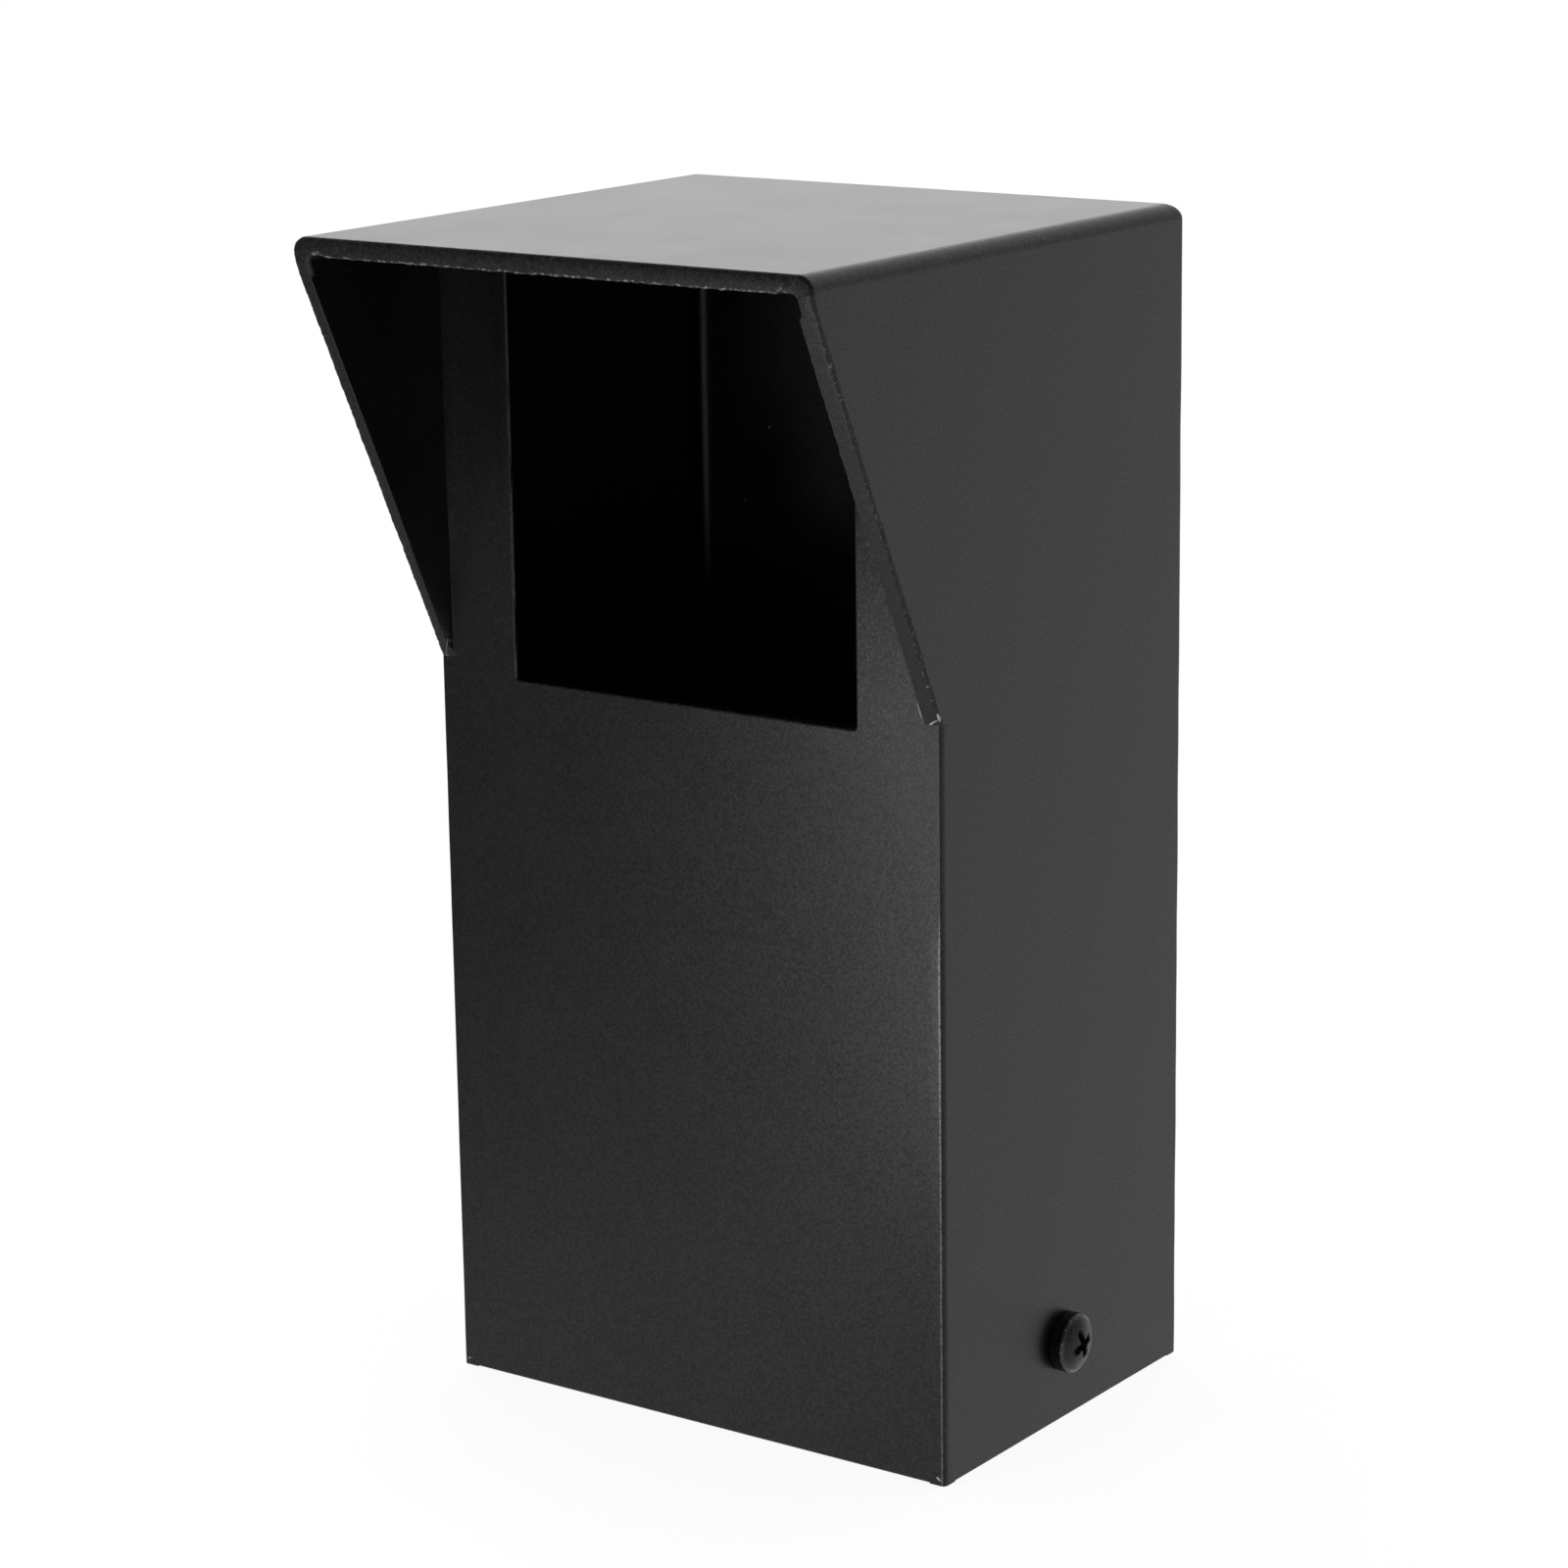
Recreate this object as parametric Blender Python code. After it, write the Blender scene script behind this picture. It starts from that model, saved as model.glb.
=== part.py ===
"""Hooded drop housing of welded sheet steel.

A folded shell makes the roof, both sides and the hood's cheeks. Two flat panels close its front and back,
held by corner and fillet welds. Two screws clamp the shell to the ears of a bracket that makes the floor.

Units are metres. +X is the right side, -Y the front, +Z up. The origin is on the underside of the floor,
in the middle of the body's footprint.
"""

import math

import bmesh
import bpy
from mathutils import Vector

# Body
WIDTH = 0.1000
DEPTH = 0.0730
HEIGHT = 0.1995
SHEET = 0.0030
GAP = 0.0003

# Hood and cheeks
HOOD_REACH = 0.0335
NOSE_HEIGHT = 0.0035
CHEEK_FOOT_Z = 0.1260
BEND_OUTER = 0.0026
BEND_INNER = 0.0012

# Window in the front panel
WINDOW_WIDTH = 0.0680
SILL_Z = 0.1235
SILL_CORNER_RADIUS = 0.0004

# Welds
CORNER_WELD_RADIUS = 0.0010
REAR_TOP_RADIUS = 0.0026
CHEEK_WELD_DEPTH = 0.0013
CHEEK_WELD_WIDTH = 0.0095
CHEEK_WELD_HOLLOW = 2.0

# Base bracket
BRACKET_CLEARANCE = GAP
BRACKET_BEND_OUTER = 0.0040
EAR_WIDTH = 0.0300
EAR_HEIGHT = 0.0260
EAR_CORNER_RADIUS = 0.0040
RELIEF_WIDTH = 0.0030
RELIEF_DEPTH = 0.0060
ANCHOR_HOLE_DIAMETER = 0.0066
ANCHOR_SPACING_X = 0.0600
ANCHOR_SPACING_Y = 0.0440

# Fasteners, M5 size
SCREW_Z = 0.0135
SCREW_SHANK_DIAMETER = 0.0048
SCREW_HOLE_DIAMETER = 0.0056
SCREW_LENGTH = 0.0124
SCREW_TIP_CHAMFER = 0.0006
HEAD_DIAMETER = 0.0101
HEAD_RIM_HEIGHT = 0.0022
HEAD_HEIGHT = 0.0038
HEAD_CROWN_DIAMETER = 0.0056
RECESS_SPAN = 0.0046
RECESS_SLOT = 0.0010
RECESS_DEPTH = 0.0022
RECESS_FLOOR_SHARE = 0.45
RECESS_TURN = math.radians(20)
WASHER_DIAMETER = 0.0100
WASHER_THICKNESS = 0.0010
NUT_ACROSS_FLATS = 0.0080
NUT_THICKNESS = 0.0040
NUT_BORE_DIAMETER = SCREW_SHANK_DIAMETER + 2 * GAP

# Facets
ARC_STEPS = 8
ROUND_STEPS = 32
CUT_MARGIN = 0.0100

# Finishes: colour, roughness, metallic
POWDER_COAT = ((0.012, 0.012, 0.012), 0.45, 0.0)
BLACK_SCREW = ((0.010, 0.010, 0.011), 0.32, 0.3)
ZINC = ((0.42, 0.42, 0.43), 0.35, 1.0)

HALF_WIDTH = WIDTH / 2
INNER_HALF = HALF_WIDTH - SHEET
PANEL_HALF = INNER_HALF - GAP
PANEL_CORNER_RADIUS = BEND_INNER - GAP
FRONT_Y = -DEPTH / 2
REAR_Y = DEPTH / 2
FRONT_INNER_Y = FRONT_Y + SHEET
REAR_INNER_Y = REAR_Y - SHEET
NOSE_Y = FRONT_Y - HOOD_REACH
NOSE_FOOT_Z = HEIGHT - NOSE_HEIGHT
CEILING_Z = HEIGHT - SHEET


# Outlines


def arc(centre, radius, start_deg, end_deg, steps=ARC_STEPS):
    """Points on an arc in the plane, both ends included."""
    points = []
    for step in range(steps + 1):
        angle = math.radians(start_deg + (end_deg - start_deg) * step / steps)
        points.append((centre[0] + radius * math.cos(angle), centre[1] + radius * math.sin(angle)))
    return points


def folded_profile(half_outer, top, bend_outer, bend_inner, sheet):
    """Inverted U of sheet, as (across, up), with its legs standing on 0."""
    half_inner = half_outer - sheet
    ceiling = top - sheet
    outside = [(-half_outer, 0.0)]
    outside += arc((-half_outer + bend_outer, top - bend_outer), bend_outer, 180, 90)
    outside += arc((half_outer - bend_outer, top - bend_outer), bend_outer, 90, 0)
    outside += [(half_outer, 0.0)]
    inside = [(half_inner, 0.0)]
    inside += arc((half_inner - bend_inner, ceiling - bend_inner), bend_inner, 0, 90)
    inside += arc((-half_inner + bend_inner, ceiling - bend_inner), bend_inner, 90, 180)
    inside += [(-half_inner, 0.0)]
    return outside + inside


def cheek_line_y(z):
    """Y of the cheek's slanted edge at a height."""
    share = (z - CHEEK_FOOT_Z) / (NOSE_FOOT_Z - CHEEK_FOOT_Z)
    return FRONT_Y + (NOSE_Y - FRONT_Y) * share


# Solids


def finish(name, look):
    """Material for one piece."""
    colour, roughness, metallic = look
    material = bpy.data.materials.new(name + "_finish")
    material.use_nodes = True
    shader = material.node_tree.nodes["Principled BSDF"]
    shader.inputs["Base Color"].default_value = (*colour, 1.0)
    shader.inputs["Roughness"].default_value = roughness
    shader.inputs["Metallic"].default_value = metallic
    return material


def add_object(name, mesh_data, look=None):
    """Object from a bmesh, as a piece with its finish or, without one, as a cutter."""
    mesh = bpy.data.meshes.new(name)
    bmesh.ops.recalc_face_normals(mesh_data, faces=mesh_data.faces)
    mesh_data.to_mesh(mesh)
    mesh_data.free()
    piece = bpy.data.objects.new(name, mesh)
    bpy.context.collection.objects.link(piece)
    if look is None:
        piece.hide_render = True
        piece.display_type = "WIRE"
    else:
        mesh.materials.append(finish(name, look))
    return piece


def prism(name, outline, axis, low, high, look=None):
    """Closed outline extruded along X, Y or Z; the outline's two values are the other axes in order."""
    mesh_data = bmesh.new()
    ring = []
    for first, second in outline:
        point = [first, second]
        point.insert("XYZ".index(axis), low)
        ring.append(mesh_data.verts.new(point))
    face = mesh_data.faces.new(ring)
    lifted = bmesh.ops.extrude_face_region(mesh_data, geom=[face])
    top = [item for item in lifted["geom"] if isinstance(item, bmesh.types.BMVert)]
    shift = Vector((0.0, 0.0, 0.0))
    shift["XYZ".index(axis)] = high - low
    bmesh.ops.translate(mesh_data, verts=top, vec=shift)
    return add_object(name, mesh_data, look)


def turned(name, profile, look=None):
    """Solid turned about X from (along, radius) points; a point on the axis closes that end."""
    mesh_data = bmesh.new()
    chain = [mesh_data.verts.new((along, 0.0, radius)) for along, radius in profile]
    edges = [mesh_data.edges.new(pair) for pair in zip(chain, chain[1:])]
    if profile[0][1] > 0:
        edges.append(mesh_data.edges.new((chain[-1], chain[0])))
    bmesh.ops.spin(mesh_data, geom=chain + edges, cent=(0, 0, 0), axis=(1, 0, 0),
                   angle=math.tau, steps=ROUND_STEPS, use_merge=True)
    bmesh.ops.remove_doubles(mesh_data, verts=mesh_data.verts, dist=1e-6)
    return add_object(name, mesh_data, look)


def smooth(piece, angle_deg=35):
    """Smooth shading on a round piece, with its corners kept sharp."""
    piece.data.shade_smooth()
    piece.data.set_sharp_from_angle(angle=math.radians(angle_deg))


def combine(piece, tool, operation="DIFFERENCE"):
    """Boolean of a piece with a cutter that stays in the scene as a guide."""
    step = piece.modifiers.new(tool.name, "BOOLEAN")
    step.operation = operation
    step.object = tool
    step.solver = "EXACT"


def bore(name, along, low, high, position, diameter):
    """Round cutter along X or Z at a position in the other two axes."""
    return prism(name, arc(position, diameter / 2, 0, 360 * (1 - 1 / ROUND_STEPS), ROUND_STEPS - 1),
                 along, low, high)


# Shell and panels


def make_hood_shell():
    """Roof, sides and cheeks in one folded sheet, cut to the cheek's outline."""
    profile = folded_profile(HALF_WIDTH, HEIGHT, BEND_OUTER, BEND_INNER, SHEET)
    shell = prism("hood_shell", profile, "Y", NOSE_Y, REAR_INNER_Y, POWDER_COAT)
    ahead = [
        (FRONT_INNER_Y, -CUT_MARGIN),
        (FRONT_INNER_Y, CHEEK_FOOT_Z),
        (FRONT_Y, CHEEK_FOOT_Z),
        (NOSE_Y, NOSE_FOOT_Z),
        (NOSE_Y - CUT_MARGIN, NOSE_FOOT_Z),
        (NOSE_Y - CUT_MARGIN, -CUT_MARGIN),
    ]
    reach = HALF_WIDTH + CUT_MARGIN
    combine(shell, prism("cheek_cutter", ahead, "X", -reach, reach))
    combine(shell, bore("screw_hole_cutter", "X", -reach, reach, (0.0, SCREW_Z), SCREW_HOLE_DIAMETER))
    return shell


def panel_outline(notch):
    """Plate as (x, z), rounded into the shell's bends, with a notch that may run down from its top edge."""
    top = CEILING_Z - GAP
    across = PANEL_HALF - PANEL_CORNER_RADIUS
    up = top - PANEL_CORNER_RADIUS
    outline = [(-PANEL_HALF, 0.0), (PANEL_HALF, 0.0)]
    outline += arc((across, up), PANEL_CORNER_RADIUS, 0, 90, ARC_STEPS // 2)
    outline += notch
    outline += arc((-across, up), PANEL_CORNER_RADIUS, 90, 180, ARC_STEPS // 2)
    return outline


def make_front_panel():
    """Flat plate with the window as a notch that the roof closes."""
    half = WINDOW_WIDTH / 2
    top = CEILING_Z - GAP
    corner = SILL_CORNER_RADIUS
    window = [(half, top)]
    window += arc((half - corner, SILL_Z + corner), corner, 0, -90, ARC_STEPS // 2)
    window += arc((-half + corner, SILL_Z + corner), corner, -90, -180, ARC_STEPS // 2)
    window += [(-half, top)]
    return prism("front_panel", panel_outline(window), "Y", FRONT_Y, FRONT_INNER_Y, POWDER_COAT)


def make_rear_panel():
    """Flat plate that closes the back."""
    return prism("rear_panel", panel_outline([]), "Y", REAR_INNER_Y, REAR_Y, POWDER_COAT)


# Welds


def corner_weld_outline(side, end):
    """Section of a ground corner weld as (x, y); side is -1 or 1, end is -1 at the front and 1 at the back."""
    radius = CORNER_WELD_RADIUS
    root_y = DEPTH / 2 - SHEET + GAP
    outline = [(INNER_HALF, root_y), (HALF_WIDTH, root_y)]
    outline += arc((HALF_WIDTH - radius, DEPTH / 2 - radius), radius, 0, 90, ARC_STEPS // 2)
    outline += [(INNER_HALF, DEPTH / 2)]
    return [(side * x, end * y) for x, y in outline]


def make_corner_welds():
    """Welds in the four upright open corners; the rear ones run up into the rounded corners of the roof."""
    welds = []
    across = [(-HALF_WIDTH, -CUT_MARGIN)]
    across += arc((-HALF_WIDTH + BEND_OUTER, HEIGHT - BEND_OUTER), BEND_OUTER, 180, 90)
    across += arc((HALF_WIDTH - BEND_OUTER, HEIGHT - BEND_OUTER), BEND_OUTER, 90, 0)
    across += [(HALF_WIDTH, -CUT_MARGIN)]
    bend_guide = prism("bend_guide", across, "Y", 0.0, REAR_Y + CUT_MARGIN)
    along = [(0.0, -CUT_MARGIN), (REAR_Y, -CUT_MARGIN)]
    along += arc((REAR_Y - REAR_TOP_RADIUS, HEIGHT - REAR_TOP_RADIUS), REAR_TOP_RADIUS, 0, 90)
    along += [(0.0, HEIGHT)]
    rear_guide = prism("rear_guide", along, "X", -HALF_WIDTH - CUT_MARGIN, HALF_WIDTH + CUT_MARGIN)
    for label, side in (("left", -1), ("right", 1)):
        front = prism(f"front_{label}_corner_weld", corner_weld_outline(side, -1), "Z",
                      0.0, CHEEK_FOOT_Z - GAP, POWDER_COAT)
        rear = prism(f"rear_{label}_corner_weld", corner_weld_outline(side, 1), "Z",
                     0.0, HEIGHT, POWDER_COAT)
        combine(rear, bend_guide, "INTERSECT")
        combine(rear, rear_guide, "INTERSECT")
        welds += [front, rear]
    return welds


def make_rear_top_weld():
    """Weld along the open corner between the roof and the rear panel."""
    radius = REAR_TOP_RADIUS
    low_y = REAR_INNER_Y + GAP
    outline = [(low_y, CEILING_Z), (REAR_Y, CEILING_Z)]
    outline += arc((REAR_Y - radius, HEIGHT - radius), radius, 0, 90)
    outline += [(low_y, HEIGHT)]
    return prism("rear_top_weld", outline, "X", -PANEL_HALF, PANEL_HALF, POWDER_COAT)


def cheek_weld_outline(side):
    """Long hollow fillet section as (x, y): it runs out across the front panel from a cheek."""
    wall_x = INNER_HALF - GAP
    wall_y = FRONT_Y - GAP
    outline = [(wall_x, wall_y)]
    for step in range(ARC_STEPS + 1):
        share = step / ARC_STEPS
        depth = CHEEK_WELD_DEPTH * (1 - share) ** CHEEK_WELD_HOLLOW
        outline.append((wall_x - CHEEK_WELD_WIDTH * share, wall_y - depth))
    return [(side * x, y) for x, y in outline]


def make_cheek_welds():
    """Fillet welds from the cheek's foot up to the roof, trimmed by the cheek's slanted edge."""
    welds = []
    top = CEILING_Z - BEND_INNER
    behind_edge = [
        (FRONT_Y + CUT_MARGIN, CHEEK_FOOT_Z),
        (FRONT_Y, CHEEK_FOOT_Z),
        (cheek_line_y(top), top),
        (FRONT_Y + CUT_MARGIN, top),
    ]
    guide = prism("cheek_weld_guide", behind_edge, "X", -HALF_WIDTH, HALF_WIDTH)
    for label, side in (("left", -1), ("right", 1)):
        weld = prism(f"front_{label}_cheek_weld", cheek_weld_outline(side), "Z",
                     CHEEK_FOOT_Z - CUT_MARGIN, top + CUT_MARGIN, POWDER_COAT)
        combine(weld, guide, "INTERSECT")
        welds.append(weld)
    return welds


# Base bracket


def ear_outline():
    """Ear seen from the side as (y, z), with the screw slot open at the top."""
    half = EAR_WIDTH / 2
    radius = EAR_CORNER_RADIUS
    slot = SCREW_HOLE_DIAMETER / 2
    outline = [(-half, -CUT_MARGIN), (half, -CUT_MARGIN)]
    outline += arc((half - radius, EAR_HEIGHT - radius), radius, 0, 90)
    outline += [(slot, EAR_HEIGHT)]
    outline += arc((0.0, SCREW_Z), slot, 0, -180, ROUND_STEPS // 2)
    outline += [(-slot, EAR_HEIGHT)]
    outline += arc((-half + radius, EAR_HEIGHT - radius), radius, 90, 180)
    return outline


def floor_outline():
    """Floor plate as (x, y), notched back where the ears fold up and beside them."""
    edge_x = INNER_HALF - BRACKET_CLEARANCE
    edge_y = DEPTH / 2 - SHEET - BRACKET_CLEARANCE
    notch_x = edge_x - RELIEF_DEPTH
    notch_y = EAR_WIDTH / 2 + RELIEF_WIDTH
    return [
        (-edge_x, -edge_y), (edge_x, -edge_y), (edge_x, -notch_y), (notch_x, -notch_y),
        (notch_x, notch_y), (edge_x, notch_y), (edge_x, edge_y), (-edge_x, edge_y),
        (-edge_x, notch_y), (-notch_x, notch_y), (-notch_x, -notch_y), (-edge_x, -notch_y),
    ]


def make_base_bracket():
    """Floor plate with two folded-up ears, four anchor holes and bend reliefs."""
    half = INNER_HALF - BRACKET_CLEARANCE
    height = EAR_HEIGHT + CUT_MARGIN
    fold = folded_profile(half, height, BRACKET_BEND_OUTER, BRACKET_BEND_OUTER - SHEET, SHEET)
    upright = [(x, height - z) for x, z in fold]
    span = EAR_WIDTH / 2
    ears = prism("ear_strip", upright, "Y", -span - CUT_MARGIN, span + CUT_MARGIN)
    combine(ears, prism("ear_guide", ear_outline(), "X", -WIDTH, WIDTH), "INTERSECT")
    bracket = prism("base_bracket", floor_outline(), "Z", 0.0, SHEET, POWDER_COAT)
    combine(bracket, ears, "UNION")
    for label_x, side_x in (("left", -1), ("right", 1)):
        for label_y, side_y in (("front", -1), ("rear", 1)):
            centre = (side_x * ANCHOR_SPACING_X / 2, side_y * ANCHOR_SPACING_Y / 2)
            cutter = bore(f"anchor_{label_y}_{label_x}_cutter", "Z", -CUT_MARGIN, SHEET + CUT_MARGIN,
                          centre, ANCHOR_HOLE_DIAMETER)
            combine(bracket, cutter)
    return bracket


# Fasteners, made with the side's outer face at x = 0 and the head towards +X


def pan_head_profile():
    """Head and shank of the screw as (along, radius), from the tip to the crown."""
    shank = SCREW_SHANK_DIAMETER / 2
    rim = HEAD_DIAMETER / 2
    crown = HEAD_CROWN_DIAMETER / 2
    tip = -SCREW_LENGTH
    profile = [(tip, 0.0), (tip, shank - SCREW_TIP_CHAMFER), (tip + SCREW_TIP_CHAMFER, shank)]
    profile += [(GAP, shank), (GAP, rim)]
    for step in range(ARC_STEPS + 1):
        angle = math.pi / 2 * step / ARC_STEPS
        along = HEAD_RIM_HEIGHT + (HEAD_HEIGHT - HEAD_RIM_HEIGHT) * math.sin(angle)
        profile.append((along, crown + (rim - crown) * math.cos(angle)))
    profile.append((HEAD_HEIGHT, 0.0))
    return profile


def recess_cutter(name, turn):
    """One tapered wing pair of the cross recess, turned about the screw's axis."""
    mesh_data = bmesh.new()
    rings = ((HEAD_HEIGHT + GAP, 1.0), (HEAD_HEIGHT - RECESS_DEPTH, RECESS_FLOOR_SHARE))
    loops = []
    for along, share in rings:
        wide = RECESS_SPAN / 2 * share
        thin = RECESS_SLOT / 2
        corners = [(-wide, -thin), (wide, -thin), (wide, thin), (-wide, thin)]
        loops.append([])
        for across, up in corners:
            y = across * math.cos(turn) - up * math.sin(turn)
            z = across * math.sin(turn) + up * math.cos(turn)
            loops[-1].append(mesh_data.verts.new((along, y, z)))
    for loop in loops:
        mesh_data.faces.new(loop)
    for here, there in zip(range(4), (1, 2, 3, 0)):
        mesh_data.faces.new((loops[0][here], loops[0][there], loops[1][there], loops[1][here]))
    return add_object(name, mesh_data)


def nut_outline():
    """Hexagon as (y, z) with a flat on top."""
    corner = NUT_ACROSS_FLATS / math.sqrt(3)
    return arc((0.0, 0.0), corner, 0, 300, 5)


def ring_profile(low, high, bore_radius, radius):
    """Closed section of a washer as (along, radius)."""
    return [(low, bore_radius), (high, bore_radius), (high, radius), (low, radius)]


def make_fasteners(label, turned_round):
    """Screw, washer and nut of one side, on the screw's axis."""
    ear_inner = -(2 * SHEET + BRACKET_CLEARANCE)
    washer_low = ear_inner - GAP - WASHER_THICKNESS
    nut_high = washer_low - GAP
    screw = turned(f"{label}_screw", pan_head_profile(), BLACK_SCREW)
    washer = turned(f"{label}_washer", ring_profile(washer_low, ear_inner - GAP, NUT_BORE_DIAMETER / 2,
                                                    WASHER_DIAMETER / 2), ZINC)
    nut = prism(f"{label}_nut", nut_outline(), "X", nut_high - NUT_THICKNESS, nut_high, ZINC)
    guides = [
        recess_cutter(f"{label}_recess_long_cutter", RECESS_TURN),
        recess_cutter(f"{label}_recess_cross_cutter", RECESS_TURN + math.pi / 2),
        bore(f"{label}_nut_bore_cutter", "X", nut_high - NUT_THICKNESS - CUT_MARGIN, nut_high + CUT_MARGIN,
             (0.0, 0.0), NUT_BORE_DIAMETER),
    ]
    combine(screw, guides[0])
    combine(screw, guides[1])
    combine(nut, guides[2])
    smooth(screw)
    smooth(washer)
    for item in [screw, washer, nut] + guides:
        item.location = (HALF_WIDTH * (-1 if turned_round else 1), 0.0, SCREW_Z)
        item.rotation_euler = (0.0, 0.0, math.pi if turned_round else 0.0)
    return [screw, washer, nut]


# Assembly


def main():
    for item in list(bpy.data.objects):
        bpy.data.objects.remove(item, do_unlink=True)
    lift = bpy.data.objects.new("hood_lift_frame", None)
    bpy.context.collection.objects.link(lift)
    hood = [make_hood_shell(), make_front_panel(), make_rear_panel()]
    hood += make_corner_welds()
    hood.append(make_rear_top_weld())
    hood += make_cheek_welds()
    hood += make_fasteners("right", False)
    hood += make_fasteners("left", True)
    for piece in hood:
        piece.parent = lift
    make_base_bracket()


main()
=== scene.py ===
"""Visual model of the small hooded drop housing: welded black sheet steel on a floor bracket.

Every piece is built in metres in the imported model's frame: +Z up, -Y out of the window, +X to the right.
"""
import math

import bmesh
import bpy
from mathutils import Matrix, Vector, noise


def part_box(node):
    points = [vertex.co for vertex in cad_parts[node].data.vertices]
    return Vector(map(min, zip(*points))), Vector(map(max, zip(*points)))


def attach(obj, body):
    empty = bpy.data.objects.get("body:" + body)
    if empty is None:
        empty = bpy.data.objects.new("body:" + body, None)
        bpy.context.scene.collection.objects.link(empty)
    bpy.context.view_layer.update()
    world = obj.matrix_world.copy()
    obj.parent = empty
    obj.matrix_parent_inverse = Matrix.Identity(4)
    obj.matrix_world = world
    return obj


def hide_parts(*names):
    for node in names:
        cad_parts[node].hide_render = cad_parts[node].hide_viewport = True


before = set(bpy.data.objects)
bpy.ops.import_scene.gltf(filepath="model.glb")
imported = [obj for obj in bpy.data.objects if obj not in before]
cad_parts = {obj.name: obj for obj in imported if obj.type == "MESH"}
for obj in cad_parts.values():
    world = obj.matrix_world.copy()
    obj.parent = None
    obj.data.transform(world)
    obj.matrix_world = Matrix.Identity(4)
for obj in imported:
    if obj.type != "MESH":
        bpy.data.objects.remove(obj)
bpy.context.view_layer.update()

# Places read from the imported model
SHELL_LOW, SHELL_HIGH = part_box("hood_shell")
FRONT_LOW, FRONT_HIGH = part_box("front_panel")
REAR_LOW, REAR_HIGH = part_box("rear_panel")
BRACKET_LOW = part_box("base_bracket")[0]
HALF_WIDTH = SHELL_HIGH.x
TOP_Z = SHELL_HIGH.z
NOSE_Y = SHELL_LOW.y
FRONT_Y = FRONT_LOW.y
FRONT_INSIDE_Y = FRONT_HIGH.y
REAR_INSIDE_Y = REAR_LOW.y
REAR_Y = REAR_HIGH.y
SHEET = FRONT_INSIDE_Y - FRONT_Y
INSIDE_X = HALF_WIDTH - SHEET
CEILING_Z = TOP_Z - SHEET
GAP = INSIDE_X - FRONT_HIGH.x
FOOT_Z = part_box("front_right_corner_weld")[1].z + GAP

# Sizes that the boxes don't give, the same as in the part's source
WINDOW_HALF = 0.0340
SILL_Z = 0.1235
NOSE_HEIGHT = 0.0035
BEND_OUTER = 0.0026
BEND_INNER = 0.0012
REAR_TOP_ROUND = 0.0026
SCREW_Z = 0.0135
SCREW_HOLE_RADIUS = 0.0028
RECESS_TURN = math.radians(20.0)

# Cut rim of the hood
RIM_STEP = 0.00028
RIM_OUTER_ROUND = 0.00070
RIM_CHEEK_ROUND = 0.00052
RIM_CHEEK_STRETCH = 1.4
RIM_INNER_ROUND = 0.00024
RIM_ROOF_INNER_ROUND = 0.00040
RIM_KNEE = 0.0010
LIP_ROOF = 0.00016
LIP_HIGH = 0.00042
LIP_LOW = 0.00012
LIP_LOW_Z = 0.1515
LIP_LEFT = -0.00055
LIP_LEFT_FOOT = -0.00090
LIP_RUN = 0.0009
BEND_REACH = 0.0035
RIM_CHIP = 0.00013
RIM_CHIP_SIZE = 0.0007
LIP_GRAIN_SIZE = 0.0011
GRIND_LENGTH = 0.006

# Where the rim's parts fade in: from and to, as distances past the side's inside, the bend and the foot
ROOF_FROM, ROOF_TO = 0.001, 0.003
BEND_FROM, BEND_TO = -0.0003, 0.0001
FOOT_FROM, FOOT_TO = 0.0005, 0.003
LIP_LEFT_FROM, LIP_LEFT_TO = 0.010, 0.035
LIP_LOW_FADE = 0.002

# Plates and welds
WINDOW_CORNER = 0.0006
PANEL_EDGE_ROUND = 0.00045
BOTTOM_ROUND = 0.0003
CORNER_ROUND_X = 0.00045
CORNER_ROUND_Y = 0.0012
FACETS = {"left": 0.000084, "right": 0.00028}
FACET_TILT = math.radians(18.0)
FACET_FADE_FROM, FACET_FADE_TO = 0.089, 0.097
WELD_CLEARANCE = 0.0001
REAR_CORNER_ROUND = 0.0010
REAR_TOP_EVEN_FROM, REAR_TOP_EVEN_TO = 0.043, 0.0465
ROOT_FILLET = 0.0026
CHEEK_WELD_DEPTHS = {"left": 0.0010, "right": 0.00012}
CHEEK_WELD_ROOTS = {"left": 0.0006, "right": 0.0}
CHEEK_WELD_WIDTHS = {"left": 0.0125, "right": 0.0060}
CHEEK_WELD_ROOT_WIDTH = 0.0003
CHEEK_WELD_SINK = 0.00004
CHEEK_WELD_HOLLOW = 2.2
CHEEK_WELD_BACK = 0.0003
CHEEK_WELD_FOOT = 0.0003
CHEEK_WELD_RISE_FROM, CHEEK_WELD_RISE_TO = -0.002, 0.030
CHEEK_WELD_SHARP = math.radians(12.0)

# Fasteners and bracket
SHANK_RADIUS = 0.0024
THREAD_PITCH = 0.0008
THREAD_ROOT = 0.84
HEAD_RIM = 0.00235
HEAD_EDGE = 0.00035
WORN_FROM_AXIS = 0.0044
WORN_FROM_SEAT = 0.0020
RECESS_EDGE_ROUND = 0.00013
RECESS_WITHIN = 0.0034
RECESS_FROM_SEAT = 0.0026
WASHER_BORE = 0.0026
NUT_BORE = 0.0025
NUT_FACE = 0.97
NUT_CHAMFER = 0.0001
NUT_CONE_FROM = 1.02
NUT_CONE_SLOPE = 0.58
BRACKET_EDGE_ROUND = 0.0003

# Sections of the cross recess as (depth, reach of a wing, half its thickness)
RECESS_SECTIONS = ((-0.0008, 0.00285, 0.00074), (0.0008, 0.0022, 0.00058), (0.0024, 0.0011, 0.00036))

# Rings along the shapes and steps round them
CORNER_RINGS = 150
CHEEK_RINGS = 160
REAR_RINGS = 90
REAR_TOP_RINGS = 60
HOLE_STEPS = 48
SCREW_STEPS = 64
NUT_STEPS = 72

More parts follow.
